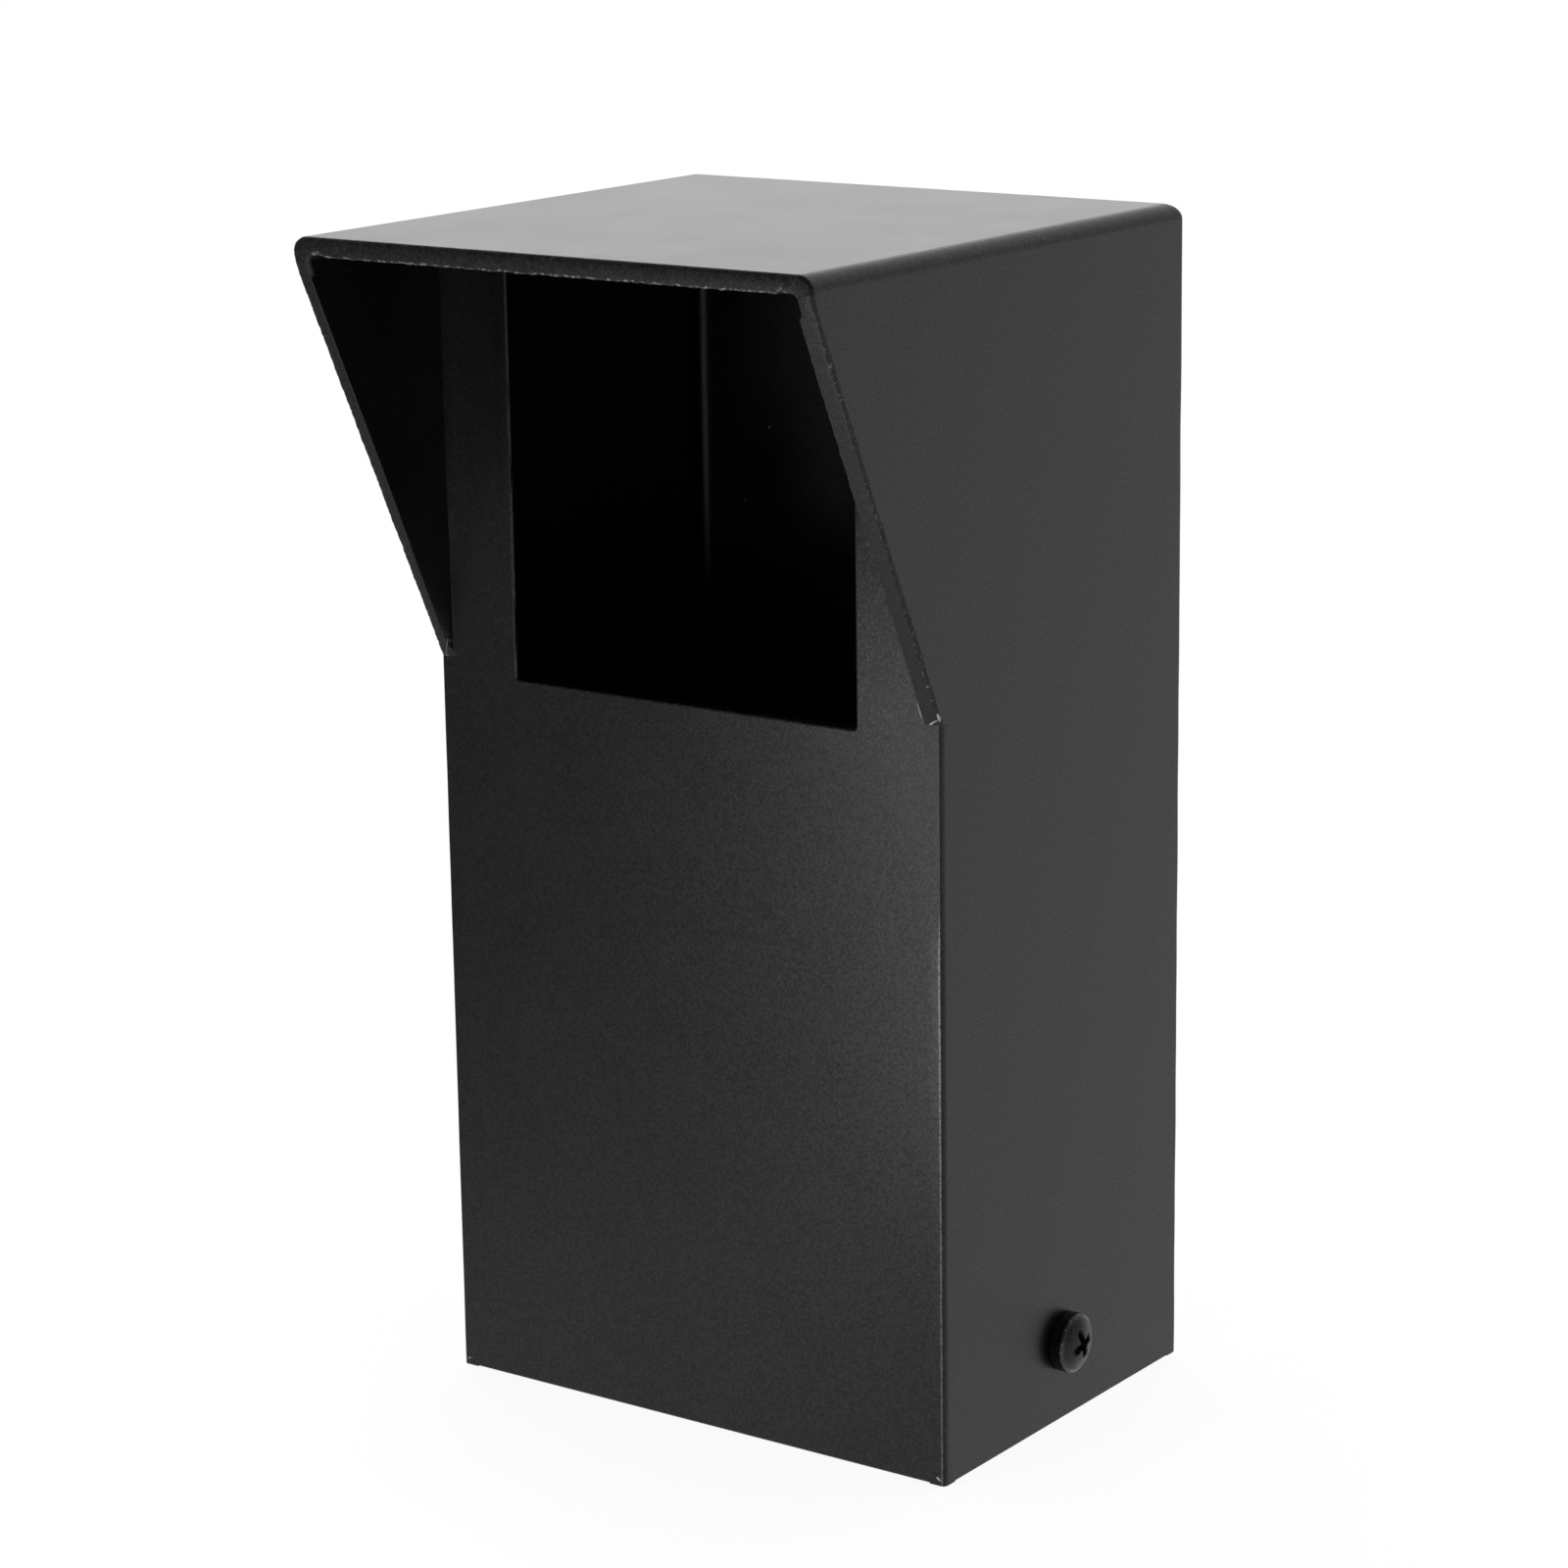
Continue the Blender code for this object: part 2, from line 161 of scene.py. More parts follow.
# Limits for picking edges by angle and by place, and for merging points
FACET_LIMIT = math.radians(0.4)
SHARP_LIMIT = math.radians(38.0)
NEAR = 0.0001
TOUCHING = 1e-6
MERGE = 1e-7
CAD_MERGE = 2e-6
BEVEL_WEIGHTS = "bevel_weight_edge"

# Camera of the photograph
FOCAL = 102.378
SENSOR = 36.0
CAMERA_AT = Vector((0.420862, -0.596272, 0.282626))
CAMERA_YAW = 0.62144
CAMERA_PITCH = 0.24168
CAMERA_ROLL = -0.01406

# Light: lobes of the surround as (direction, gain, power), soft boxes as (name, place, target, radiance)
WORLD_BASE = 0.12
WORLD_BACK = -0.9
WORLD_LOBES = (
    ((-0.57, 0.82, 0.0), 1.70, 8.0),
    ((-1.0, 0.0, 0.0), 0.40, 4.0),
    ((0.82, 0.57, 0.0), 0.32, 8.0),
    ((0.24, 0.79, 0.56), 0.7, 10.0),
)
SOFT_BOXES = (
    ("low_box", (-0.0304, -0.2341, 0.0221), (0.085, -0.0365, 0.090), 20.5),
    ("high_box", (-0.0574, -0.2341, 0.0761), (0.065, -0.0365, 0.130), 14.0),
)
SOFT_BOX_SIZE = 0.04
FLOOR_DROP = 0.0001
FLOOR_TONE = (0.22, 0.22, 0.22)
FLOOR_GLOW = 0.91
FLOOR_MIRROR = 1.03
FLOOR_MIRROR_FAR = 0.36
FLOOR_FADE_AXIS = (-0.9, -0.45, 0.0)
FLOOR_FADE = (0.07, 0.31)

# Coat colours, and noise scales as features per metre
COAT_TONE = (0.0065, 0.0065, 0.0066)
# Lighter coat tone for the inner faces: painted fill light that lifts the shaded inside of the hood
INSIDE_PAINTED_FILL_TONE = (0.018, 0.018, 0.018)
BRACKET_TONE = (0.0090, 0.0090, 0.0090)
METAL_TONE = (0.45, 0.45, 0.44)
PIT_TONE = (0.14, 0.14, 0.138)
# Colour of the painted glints: light specks standing in for sparkle of the light on the front plate
PAINTED_GLINT_TONE = (0.10, 0.10, 0.099)
DUST_TONE = (0.28, 0.275, 0.27)
ZINC_DARK = (0.36, 0.37, 0.39)
ZINC_LIGHT = (0.52, 0.52, 0.51)
PATCH_SCALE = 55.0
WAVE_SCALE = 190.0
WEAR_SCALE = 1400.0
PIT_SCALE = 1500.0
PEEL_SCALE = 2100.0
GRAIN_SCALE = 3000.0
# Size of the painted glint specks
PAINTED_GLINT_SCALE = 3600.0
ZINC_PATCH_SCALE = 320.0
SCRATCH_SCALE = 1500.0
SCRATCH_DEPTH = 0.000012
DUST_SPACING = 0.0042
DUST_RADIUS = 0.00026

# Roughness, peel and grain depths in metres, and refraction of the usual coat
COAT_LOOK = (0.34, 0.000012, 0.000006, 1.32)

# Middle and reach of the painted glints on the front plate: light specks in its colour that stand in for the
# sparkle of the lamps
PANEL_PAINTED_GLINTS = ((0.040, -0.0365, 0.136), 0.024)


# Node materials

class Finish:
    """A node material with short ways to add nodes."""

    def __init__(self, name):
        self.material = bpy.data.materials.new(name)
        self.material.use_nodes = True
        self.tree = self.material.node_tree
        self.shader = self.tree.nodes["Principled BSDF"]
        self.place = self.add("ShaderNodeTexCoord").outputs["Object"]

    def add(self, kind, **values):
        node = self.tree.nodes.new(kind)
        for key, value in values.items():
            setattr(node, key, value)
        return node

    def join(self, source, target):
        self.tree.links.new(source, target)

    def noise(self, scale, detail=2.0, roughness=0.5, stretch=None):
        """Noise with features of about 1/scale metres."""
        node = self.add("ShaderNodeTexNoise")
        node.inputs["Scale"].default_value = scale
        node.inputs["Detail"].default_value = detail
        node.inputs["Roughness"].default_value = roughness
        source = self.place
        if stretch:
            mapping = self.add("ShaderNodeMapping")
            mapping.inputs["Scale"].default_value = stretch
            self.join(self.place, mapping.inputs["Vector"])
            source = mapping.outputs["Vector"]
        self.join(source, node.inputs["Vector"])
        return node.outputs["Fac"]

    def spread(self, source, low, high, to_low, to_high):
        """Maps a range of one value onto another range."""
        node = self.add("ShaderNodeMapRange")
        node.inputs["From Min"].default_value = low
        node.inputs["From Max"].default_value = high
        node.inputs["To Min"].default_value = to_low
        node.inputs["To Max"].default_value = to_high
        self.join(source, node.inputs["Value"])
        return node.outputs["Result"]

    def math(self, operation, a, b):
        node = self.add("ShaderNodeMath", operation=operation)
        for socket, value in zip(node.inputs, (a, b)):
            if isinstance(value, (int, float)):
                socket.default_value = value
            else:
                self.join(value, socket)
        return node.outputs["Value"]

    def blend(self, factor, a, b):
        """A colour between two colours or colour sockets."""
        node = self.add("ShaderNodeMix", data_type="RGBA")
        self.join(factor, node.inputs["Factor"])
        for socket, value in ((node.inputs[6], a), (node.inputs[7], b)):
            if isinstance(value, tuple):
                socket.default_value = (*value, 1.0)
            else:
                self.join(value, socket)
        return node.outputs[2]

    def specks(self, spacing, radius, share):
        """A mask of small round spots: one cell in every 1/share has one."""
        node = self.add("ShaderNodeTexVoronoi")
        node.inputs["Scale"].default_value = 1.0 / spacing
        self.join(self.place, node.inputs["Vector"])
        parts = self.add("ShaderNodeSeparateColor")
        self.join(node.outputs["Color"], parts.inputs["Color"])
        chosen = self.math("LESS_THAN", parts.outputs["Red"], share)
        size = self.math("MULTIPLY", parts.outputs["Green"], radius / spacing)
        inside = self.math("LESS_THAN", node.outputs["Distance"], size)
        return self.math("MULTIPLY", chosen, inside)

    def bumps(self, layers):
        """Stacks bump layers of (height socket, distance in metres)."""
        normal = None
        for height, distance in layers:
            node = self.add("ShaderNodeBump")
            node.inputs["Distance"].default_value = distance
            self.join(height, node.inputs["Height"])
            if normal:
                self.join(normal, node.inputs["Normal"])
            normal = node.outputs["Normal"]
        self.join(normal, self.shader.inputs["Normal"])


def black_coat(name, tone=COAT_TONE, look=COAT_LOOK, dust=0.0, waves=0.0, pits=0.0, wear=0.0, wear_from=0.48,
               painted_glints=None):
    """Black powder coat with orange peel, fine grain and an uneven sheen.

    Dust lies on it in specks, waves make it uneven, pits mottle a rough edge, wear rubs it down to the metal
    in patches, and painted glints, light specks in the colour, stand in for sparkle of the light round a
    place.
    """
    dullness, peel, grain, ior = look
    coat = Finish(name)
    patches = coat.noise(PATCH_SCALE, 4.0, 0.6)
    fine = coat.noise(PEEL_SCALE, 2.0)
    shade = coat.spread(patches, 0.3, 0.7, 0.0, 1.0)
    dark = tuple(0.75 * value for value in tone)
    light = tuple(1.25 * value for value in tone)
    colour = coat.blend(shade, dark, light)
    sheen = coat.math("ADD", coat.spread(patches, 0.3, 0.7, dullness - 0.01, dullness + 0.01),
                      coat.spread(fine, 0.3, 0.7, -0.02, 0.02))
    if pits:
        mottle = coat.spread(coat.noise(PIT_SCALE, 3.0, 0.6), 0.44, 0.64, 0.0, pits)
        colour = coat.blend(mottle, colour, PIT_TONE)
    if wear:
        rubbed = coat.spread(coat.noise(WEAR_SCALE, 2.0), wear_from, wear_from + 0.14, 0.0, wear)
        colour = coat.blend(rubbed, colour, METAL_TONE)
        coat.join(rubbed, coat.shader.inputs["Metallic"])
    if dust:
        spots = coat.specks(DUST_SPACING, DUST_RADIUS, dust)
        colour = coat.blend(spots, colour, DUST_TONE)
        sheen = coat.math("ADD", sheen, coat.math("MULTIPLY", spots, 0.3))
    # Painted glints: light specks in the colour near one place, standing in for sparkle of the light
    if painted_glints:
        centre, reach = painted_glints
        away = coat.add("ShaderNodeVectorMath", operation="DISTANCE")
        away.inputs[1].default_value = centre
        coat.join(coat.place, away.inputs[0])
        near = coat.spread(away.outputs["Value"], 0.4 * reach, reach, 1.0, 0.0)
        painted_sparkle = coat.spread(coat.noise(PAINTED_GLINT_SCALE, 2.0, 0.7), 0.50, 0.70, 0.0, 1.0)
        colour = coat.blend(coat.math("MULTIPLY", painted_sparkle, near), colour, PAINTED_GLINT_TONE)
    coat.join(colour, coat.shader.inputs["Base Color"])
    coat.join(coat.spread(fine, 0.3, 0.7, 0.37, 0.63), coat.shader.inputs["Specular IOR Level"])
    coat.join(sheen, coat.shader.inputs["Roughness"])
    coat.shader.inputs["IOR"].default_value = ior
    layers = [(fine, peel), (coat.noise(GRAIN_SCALE, 1.0), grain)]
    if waves:
        layers.append((coat.noise(WAVE_SCALE, 2.0), waves))
    coat.bumps(layers)
    return coat.material


def plated_steel(name):
    """Bright zinc plate with a faint bluish cast, brushed scratches and dull patches."""
    plate = Finish(name)
    patches = plate.noise(ZINC_PATCH_SCALE, 4.0, 0.6)
    scratches = plate.noise(SCRATCH_SCALE, 3.0, 0.6, (1.0, 0.15, 0.15))
    mix = plate.spread(patches, 0.3, 0.7, 0.0, 1.0)
    colour = plate.blend(mix, ZINC_DARK, ZINC_LIGHT)
    plate.join(colour, plate.shader.inputs["Base Color"])
    plate.shader.inputs["Metallic"].default_value = 1.0
    plate.join(plate.spread(patches, 0.3, 0.7, 0.24, 0.42), plate.shader.inputs["Roughness"])
    plate.bumps([(scratches, SCRATCH_DEPTH)])
    return plate.material


COAT = black_coat("powder_coat", dust=0.05)
# Inside of the hood and the rear plate: the same coat painted lighter as fill light in the shade, with real
# dust specks
INSIDE_PAINTED_FILL = black_coat("powder_coat_inside_painted_fill", INSIDE_PAINTED_FILL_TONE, dust=0.5)
# The front plate carries painted glints near the right cheek
PANEL = black_coat("powder_coat_panel_painted_glints", dust=0.05, painted_glints=PANEL_PAINTED_GLINTS)
BEND = black_coat("powder_coat_bend", look=(0.36, 0.00004, 0.00001, 1.32), dust=0.05, waves=0.00008)
COAT_EDGE = black_coat("powder_coat_edge", dust=0.02, wear=0.04)
# Lighter coat with some rubbed-through metal for the right front corner's narrow facet: a painted highlight
# line down the edge, with real wear
CORNER_PAINTED_HIGHLIGHT = black_coat("powder_coat_corner_painted_highlight", (0.05, 0.05, 0.049), wear=0.20, wear_from=0.34)
RIM = black_coat("coated_rim", look=(0.46, 0.000050, 0.000025, 1.31), waves=0.00003, pits=0.15)
CHEEK_RIM = black_coat("coated_cheek_rim", look=(0.46, 0.00002, 0.00001, 1.31), waves=0.00002)
CHEEK_LIP = black_coat("coated_cheek_lip", look=(0.40, 0.00002, 0.00001, 1.33), wear=0.3, wear_from=0.56)
LIP = black_coat("coated_rim_lip", look=(0.36, 0.000040, 0.000020, 1.34), wear=0.5)
WELD = black_coat("coated_weld", dust=0.05, waves=0.00002)
# Near-white and grey colours for the small weld beads at the corners' feet: bare weld metal painted as a
# highlight, dimmer on the left
BEAD_PAINTED_HIGHLIGHT = black_coat("bare_weld_bead_painted_highlight", (0.72, 0.71, 0.69), (0.30, 0.000020, 0.000010, 1.6))
BEAD_PAINTED_DIM_HIGHLIGHT = black_coat("weld_bead_painted_dim_highlight", (0.30, 0.30, 0.29), (0.40, 0.000020, 0.000010, 1.5))
BRACKET = black_coat("bracket_coat", BRACKET_TONE, (0.52, 0.000016, 0.000008, 1.42), dust=0.12)
BRACKET_EDGE = black_coat("bracket_coat_edge", BRACKET_TONE, (0.5, 0.00002, 0.00001, 1.42),
                          dust=0.05, wear=0.12)
SCREW = black_coat("screw_black", (0.0075, 0.0075, 0.0078), (0.38, 0.000050, 0.000022, 1.31),
                   dust=0.10, waves=0.00005, pits=0.12)
SCREW_EDGE = black_coat("screw_black_edge", (0.012, 0.012, 0.0122), (0.30, 0.000012, 0.000006, 1.42),
                        wear=0.35, wear_from=0.54)
ZINC = plated_steel("zinc")


# Mesh helpers

def new_object(name, work):
    """A scene object from a bmesh, with outward normals."""
    bmesh.ops.recalc_face_normals(work, faces=work.faces)
    mesh = bpy.data.meshes.new(name)
    work.to_mesh(mesh)
    work.free()
    obj = bpy.data.objects.new(name, mesh)
    bpy.context.scene.collection.objects.link(obj)
    return obj


def loft_into(work, rings, tag=None, material=0):
    """Closed skin through rings of equal length, with flat ends; tag(ring, strip) picks materials."""
    loops = [[work.verts.new(point) for point in ring] for ring in rings]
    count = len(loops[0])
    for k, (low, high) in enumerate(zip(loops, loops[1:])):
        for i in range(count):
            j = (i + 1) % count
            face = work.faces.new((low[i], low[j], high[j], high[i]))
            face.material_index = tag(k, i) if tag else material
    for end in (loops[0][::-1], loops[-1]):
        work.faces.new(end).material_index = material


def loft(name, *skins):
    """One object from one or more lofted skins."""
    work = bmesh.new()
    for rings in skins:
        loft_into(work, rings)
    return new_object(name, work)


def clean_copy(node, name):
    """The CAD node's shape as whole flat faces instead of triangles."""
    work = bmesh.new()
    work.from_mesh(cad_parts[node].data)
    bmesh.ops.remove_doubles(work, verts=work.verts, dist=CAD_MERGE)
    bmesh.ops.dissolve_limit(work, angle_limit=FACET_LIMIT, verts=work.verts, edges=work.edges)
    return new_object(name, work)


def arc_points(centre, radius, start, end, steps):
    """Points on an arc in a plane, angles in degrees."""
    points = []
    for i in range(steps + 1):
        angle = math.radians(start + (end - start) * i / steps)
        points.append((centre[0] + radius * math.cos(angle), centre[1] + radius * math.sin(angle)))
    return points


def evenly(low, high, steps):
    """Values from low to high, without low."""
    return [low + (high - low) * i / steps for i in range(1, steps + 1)]


def between(low, high, share):
    """The value at a share of the way from low to high."""
    return low + (high - low) * share


def ease(low, high, value):
    """Smooth step from 0 at low to 1 at high."""
    share = min(max((value - low) / (high - low), 0.0), 1.0)
    return share * share * (3.0 - 2.0 * share)


def round_edges(obj, width, segments, choose):
    """Rounds the sharp edges that choose(midpoint) picks; the round faces take the second material."""
    work = bmesh.new()
    work.from_mesh(obj.data)
    weights = work.edges.layers.float.new(BEVEL_WEIGHTS)
    for edge in work.edges:
        middle = (edge.verts[0].co + edge.verts[1].co) / 2
        sharp = edge.calc_face_angle(0.0) > SHARP_LIMIT
        if sharp and choose(middle):
            edge[weights] = 1.0
    work.to_mesh(obj.data)
    work.free()
    bevel = obj.modifiers.new("rounded edges", "BEVEL")
    bevel.limit_method = "WEIGHT"
    bevel.width = width
    bevel.segments = segments
    bevel.material = 1
    bevel.use_clamp_overlap = False
    bevel.miter_outer = "MITER_ARC"


def boolean(obj, tool, operation, self_crossing=False):
    """Applies an exact boolean and removes the tool."""
    cut = obj.modifiers.new("cut", "BOOLEAN")
    cut.operation = operation
    cut.solver = "EXACT"
    cut.use_self = self_crossing
    cut.object = tool
    bpy.context.view_layer.update()
    depsgraph = bpy.context.evaluated_depsgraph_get()
    result = bpy.data.meshes.new_from_object(obj.evaluated_get(depsgraph))
    obj.modifiers.clear()
    obj.data = result
    bpy.data.objects.remove(tool)


def dress(obj, body, slot, materials, *nodes, sharp=SHARP_LIMIT):
    """Smooth shading, materials and the body of a piece; the CAD nodes it stands for are hidden, and the slot
    is not used.
    """
    work = bmesh.new()
    work.from_mesh(obj.data)
    weights = work.edges.layers.float.get(BEVEL_WEIGHTS)
    for face in work.faces:
        face.smooth = True
    for edge in work.edges:
        rounded = weights is not None and edge[weights] > 0.0
        edge.smooth = rounded or edge.calc_face_angle(0.0) < sharp
    work.to_mesh(obj.data)
    work.free()
    normals = obj.modifiers.new("even shading", "WEIGHTED_NORMAL")
    normals.keep_sharp = True
    normals.weight = 100
    for material in materials:
        obj.data.materials.append(material)
    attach(obj, body)
    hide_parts(*nodes)


def uneven(seed, z, step, amount):
    """Smooth unevenness along a hand-ground bead."""
    return amount * noise.noise(Vector((seed, 0.37 * seed, z / step)))


def rough(place, size, seed):
    """Noise between about -1 and 1 with features of a given size."""
    return noise.noise(place / size + Vector((seed, 2.3 * seed, 5.1 * seed)))


# Folded shell

def rim_y(z):
    """Front end of the shell at a height: the corner weld's back, the slanted cheek, the upright nose."""
    if z < FOOT_Z:
        share = max(z - (FOOT_Z - GAP), 0.0) / GAP
        return between(FRONT_INSIDE_Y, FRONT_Y, share)
    slope = (NOSE_Y - FRONT_Y) / (TOP_Z - NOSE_HEIGHT - FOOT_Z)
    ahead = FRONT_Y + slope * (z - FOOT_Z) - NOSE_Y
    return NOSE_Y + 0.5 * (ahead + math.hypot(ahead, RIM_KNEE))


def folded_half():
    """Outer and inner points of the right half of the folded sheet, from its bottom to the roof's middle."""
    half = []
    for angle in (0.0, 30.0, 60.0, 90.0):
        inset = BOTTOM_ROUND * (1.0 - math.sin(math.radians(angle)))
        z = BOTTOM_ROUND * (1.0 - math.cos(math.radians(angle)))
        half.append((Vector((HALF_WIDTH - inset, 0.0, z)), Vector((INSIDE_X + inset, 0.0, z))))
    level = CEILING_Z - 2.0 * BEND_REACH
    heights = evenly(BOTTOM_ROUND, FOOT_Z - GAP, 8) + [FOOT_Z]
    heights += evenly(FOOT_Z, level, round((level - FOOT_Z) / RIM_STEP))
    for z in heights:
        half.append((Vector((HALF_WIDTH, 0.0, z)), Vector((INSIDE_X, 0.0, z))))
    outer_z = TOP_Z - BEND_OUTER
    inner_z = CEILING_Z - BEND_INNER
    for share in evenly(0.0, 1.0, round((inner_z - level) / RIM_STEP)):
        half.append((Vector((HALF_WIDTH, 0.0, between(level, outer_z, share))),
                     Vector((INSIDE_X, 0.0, between(level, inner_z, share)))))
    outer_x = HALF_WIDTH - BEND_OUTER
    inner_x = INSIDE_X - BEND_INNER
    outer_arc = arc_points((outer_x, outer_z), BEND_OUTER, 0.0, 90.0, 12)
    inner_arc = arc_points((inner_x, inner_z), BEND_INNER, 0.0, 90.0, 12)
    for (ox, oz), (ix, iz) in list(zip(outer_arc, inner_arc))[1:]:
        half.append((Vector((ox, 0.0, oz)), Vector((ix, 0.0, iz))))
    for share in evenly(0.0, 1.0, round(inner_x / RIM_STEP)):
        half.append((Vector((outer_x * (1.0 - share), 0.0, TOP_Z)),
                     Vector((inner_x * (1.0 - share), 0.0, CEILING_Z))))
    return half


def rim_section(outer, inner):
    """Section along the sheet: back outside, round the cut rim with its inner lip, back inside."""
    free = 1.0 if outer.z >= FOOT_Z else 0.0
    on_roof = ease(INSIDE_X - ROOF_FROM, INSIDE_X - ROOF_TO, abs(inner.x))
    into_bend = max(INSIDE_X - abs(inner.x), CEILING_Z - inner.z)
    straight = free * ease(BEND_REACH + BEND_FROM, BEND_REACH + BEND_TO, into_bend)
    left_cheek = (1.0 - on_roof) * straight if inner.x < 0.0 else 0.0
    above_foot = ease(FOOT_Z + FOOT_FROM, FOOT_Z + FOOT_TO, inner.z)
    place = (outer + inner) / 2
    place.y = rim_y(place.z)
    ground = free * between(RIM_CHEEK_ROUND, RIM_OUTER_ROUND, on_roof)
    ground *= 1.0 + 0.3 * rough(place, GRIND_LENGTH, 3.0)
    stretch = between(RIM_CHEEK_STRETCH, 1.0, on_roof)
    inner_round = between(RIM_INNER_ROUND, RIM_ROOF_INNER_ROUND, on_roof)
    inner_round *= free * (1.0 + 1.5 * (1.0 - straight))
    left_share = ease(FOOT_Z + LIP_LEFT_FROM, FOOT_Z + LIP_LEFT_TO, inner.z)
    left_lip = between(LIP_LEFT_FOOT, LIP_LEFT, left_share)
    low_share = ease(LIP_LOW_Z - LIP_LOW_FADE, LIP_LOW_Z + LIP_LOW_FADE, inner.z)
    cheek_lip = between(LIP_LOW, LIP_HIGH, low_share)
    cheek_lip = between(cheek_lip, left_lip * above_foot, left_cheek)
    lip = straight * between(cheek_lip, LIP_ROOF, on_roof)
    lip *= 1.0 + (0.3 + 0.6 * on_roof - 0.27 * left_cheek) * rough(place, LIP_GRAIN_SIZE, 7.0)
    run = between(LIP_RUN, 0.8 * (FRONT_Y - rim_y(inner.z)), left_cheek * above_foot)
    chip = free * RIM_CHIP
    span = inner - outer
    points = []

    def put(depth, back, scatter):
        spot = outer + span * (depth / SHEET)
        spot.y = rim_y(spot.z) + back
        if scatter:
            spot += span * (chip * scatter * rough(spot, RIM_CHIP_SIZE, 11.0) / SHEET)
            spot.y += chip * scatter * rough(spot, RIM_CHIP_SIZE, 13.0)
        points.append(spot)

    points.append(Vector((outer.x, REAR_INSIDE_Y, outer.z)))
    for angle in (0.0, 22.5, 45.0, 67.5, 90.0):
        turn = math.radians(angle)
        put(ground * (1.0 - math.cos(turn)), stretch * ground * (1.0 - math.sin(turn)), math.sin(turn))
    put(SHEET / 2, 0.0, 0.4 * free)
    for angle in (90.0, 60.0, 30.0, 0.0):
        turn = math.radians(angle)
        depth = SHEET + lip - inner_round * (1.0 - math.cos(turn))
        put(depth, inner_round * (1.0 - math.sin(turn)), 0.3 * free)
    put(SHEET, inner_round + run * straight, 0.0)
    points.append(Vector((inner.x, REAR_INSIDE_Y, inner.z)))
    return points


def make_shell():
    """Roof and sides in one sheet, with the rough cut rim of the hood and the two screw holes."""
    right_half = folded_half()
    flip = Vector((-1.0, 1.0, 1.0))
    left_half = [(outer * flip, inner * flip) for outer, inner in right_half[-2::-1]]
    sheet = right_half + left_half
    # The inner faces take the lighter inside coat, which paints fill light into the shaded inside
    materials = [COAT, RIM, LIP, INSIDE_PAINTED_FILL, BEND, CHEEK_RIM, CHEEK_LIP]
    strips = [COAT] + [RIM] * 6 + [LIP] * 4 + [INSIDE_PAINTED_FILL] * 2
    outer_round = (2, 3, 4)
    last_of_lip = 10

    def finish_of(k, i):
        outer, inner = sheet[k]
        turned_in = abs(outer.x) > HALF_WIDTH - BEND_OUTER - TOUCHING
        turning = turned_in and outer.z > TOP_Z - BEND_OUTER - TOUCHING
        on_cheek = inner.z < CEILING_Z - TOUCHING
        right = inner.x > 0.0
        if i == 0 and turning:
            return BEND
        if on_cheek and strips[i] == RIM and inner.z < CEILING_Z - BEND_REACH:
            return CHEEK_LIP if right and i in outer_round else CHEEK_RIM
        if on_cheek and strips[i] == LIP:
            return CHEEK_LIP if right else INSIDE_PAINTED_FILL if i == last_of_lip else CHEEK_RIM
        return strips[i]

    def tag(k, i):
        return materials.index(finish_of(k, i))

    work = bmesh.new()
    loft_into(work, [rim_section(outer, inner) for outer, inner in sheet], tag)
    bmesh.ops.remove_doubles(work, verts=work.verts, dist=MERGE)
    bmesh.ops.dissolve_degenerate(work, edges=work.edges, dist=MERGE)
    shell = new_object("shell", work)
    reach = 1.2 * HALF_WIDTH
    hole = loft("hole", [ring_about_x(x, SCREW_HOLE_RADIUS, HOLE_STEPS) for x in (-reach, reach)])
    boolean(shell, hole, "DIFFERENCE")
    dress(shell, "hood", "powder_coat", materials, "hood_shell")


# Front and rear plates

def plate_outline(notch):
    """Plate outline as (x, z), rounded into the bends, with a notch in its top edge."""
    across = INSIDE_X - BEND_INNER
    up = CEILING_Z - BEND_INNER
    outline = [(-INSIDE_X, 0.0), (INSIDE_X, 0.0)]
    outline += arc_points((across, up), BEND_INNER, 0.0, 90.0, 6)
    outline += notch
    return outline + arc_points((-across, up), BEND_INNER, 90.0, 180.0, 6)


def on_bottom_edge(middle):
    """Whether an edge's midpoint is on a plate's free bottom edge."""
    return middle.z < NEAR and abs(middle.x) < INSIDE_X - NEAR


def make_front_panel():
    """Front plate up to the roof, with the window as a notch that is open at the top."""
    across = WINDOW_HALF - WINDOW_CORNER
    up = SILL_Z + WINDOW_CORNER
    window = [(WINDOW_HALF, CEILING_Z)]
    window += arc_points((across, up), WINDOW_CORNER, 0.0, -90.0, 4)
    window += arc_points((-across, up), WINDOW_CORNER, -90.0, -180.0, 4)
    window += [(-WINDOW_HALF, CEILING_Z)]
    outline = plate_outline(window)
    rings = [[Vector((x, y, z)) for x, z in outline] for y in (FRONT_INSIDE_Y, FRONT_Y)]
    panel = loft("front_panel_visual", rings)

    def free_edge(middle):
        in_window = abs(middle.x) < WINDOW_HALF + NEAR and SILL_Z - NEAR < middle.z < CEILING_Z - NEAR
        return in_window or on_bottom_edge(middle)

    round_edges(panel, PANEL_EDGE_ROUND, 3, free_edge)
    dress(panel, "hood", "powder_coat", [PANEL, COAT_EDGE], "front_panel")


def make_rear_panel():
    """Rear plate between the sides and under the roof."""
    outline = plate_outline([])
    rings = [[Vector((x, y, z)) for x, z in outline] for y in (REAR_Y, REAR_INSIDE_Y)]
    panel = loft("rear_panel_visual", rings)
    materials = [COAT, COAT_EDGE, INSIDE_PAINTED_FILL]
    # The rear plate's inside faces take the lighter inside coat: painted fill light
    for face in panel.data.polygons:
        inside = face.center.y < REAR_INSIDE_Y + TOUCHING
        face.material_index = materials.index(INSIDE_PAINTED_FILL if inside else COAT)
    round_edges(panel, PANEL_EDGE_ROUND, 3, on_bottom_edge)
    dress(panel, "hood", "powder_coat", materials, "rear_panel")


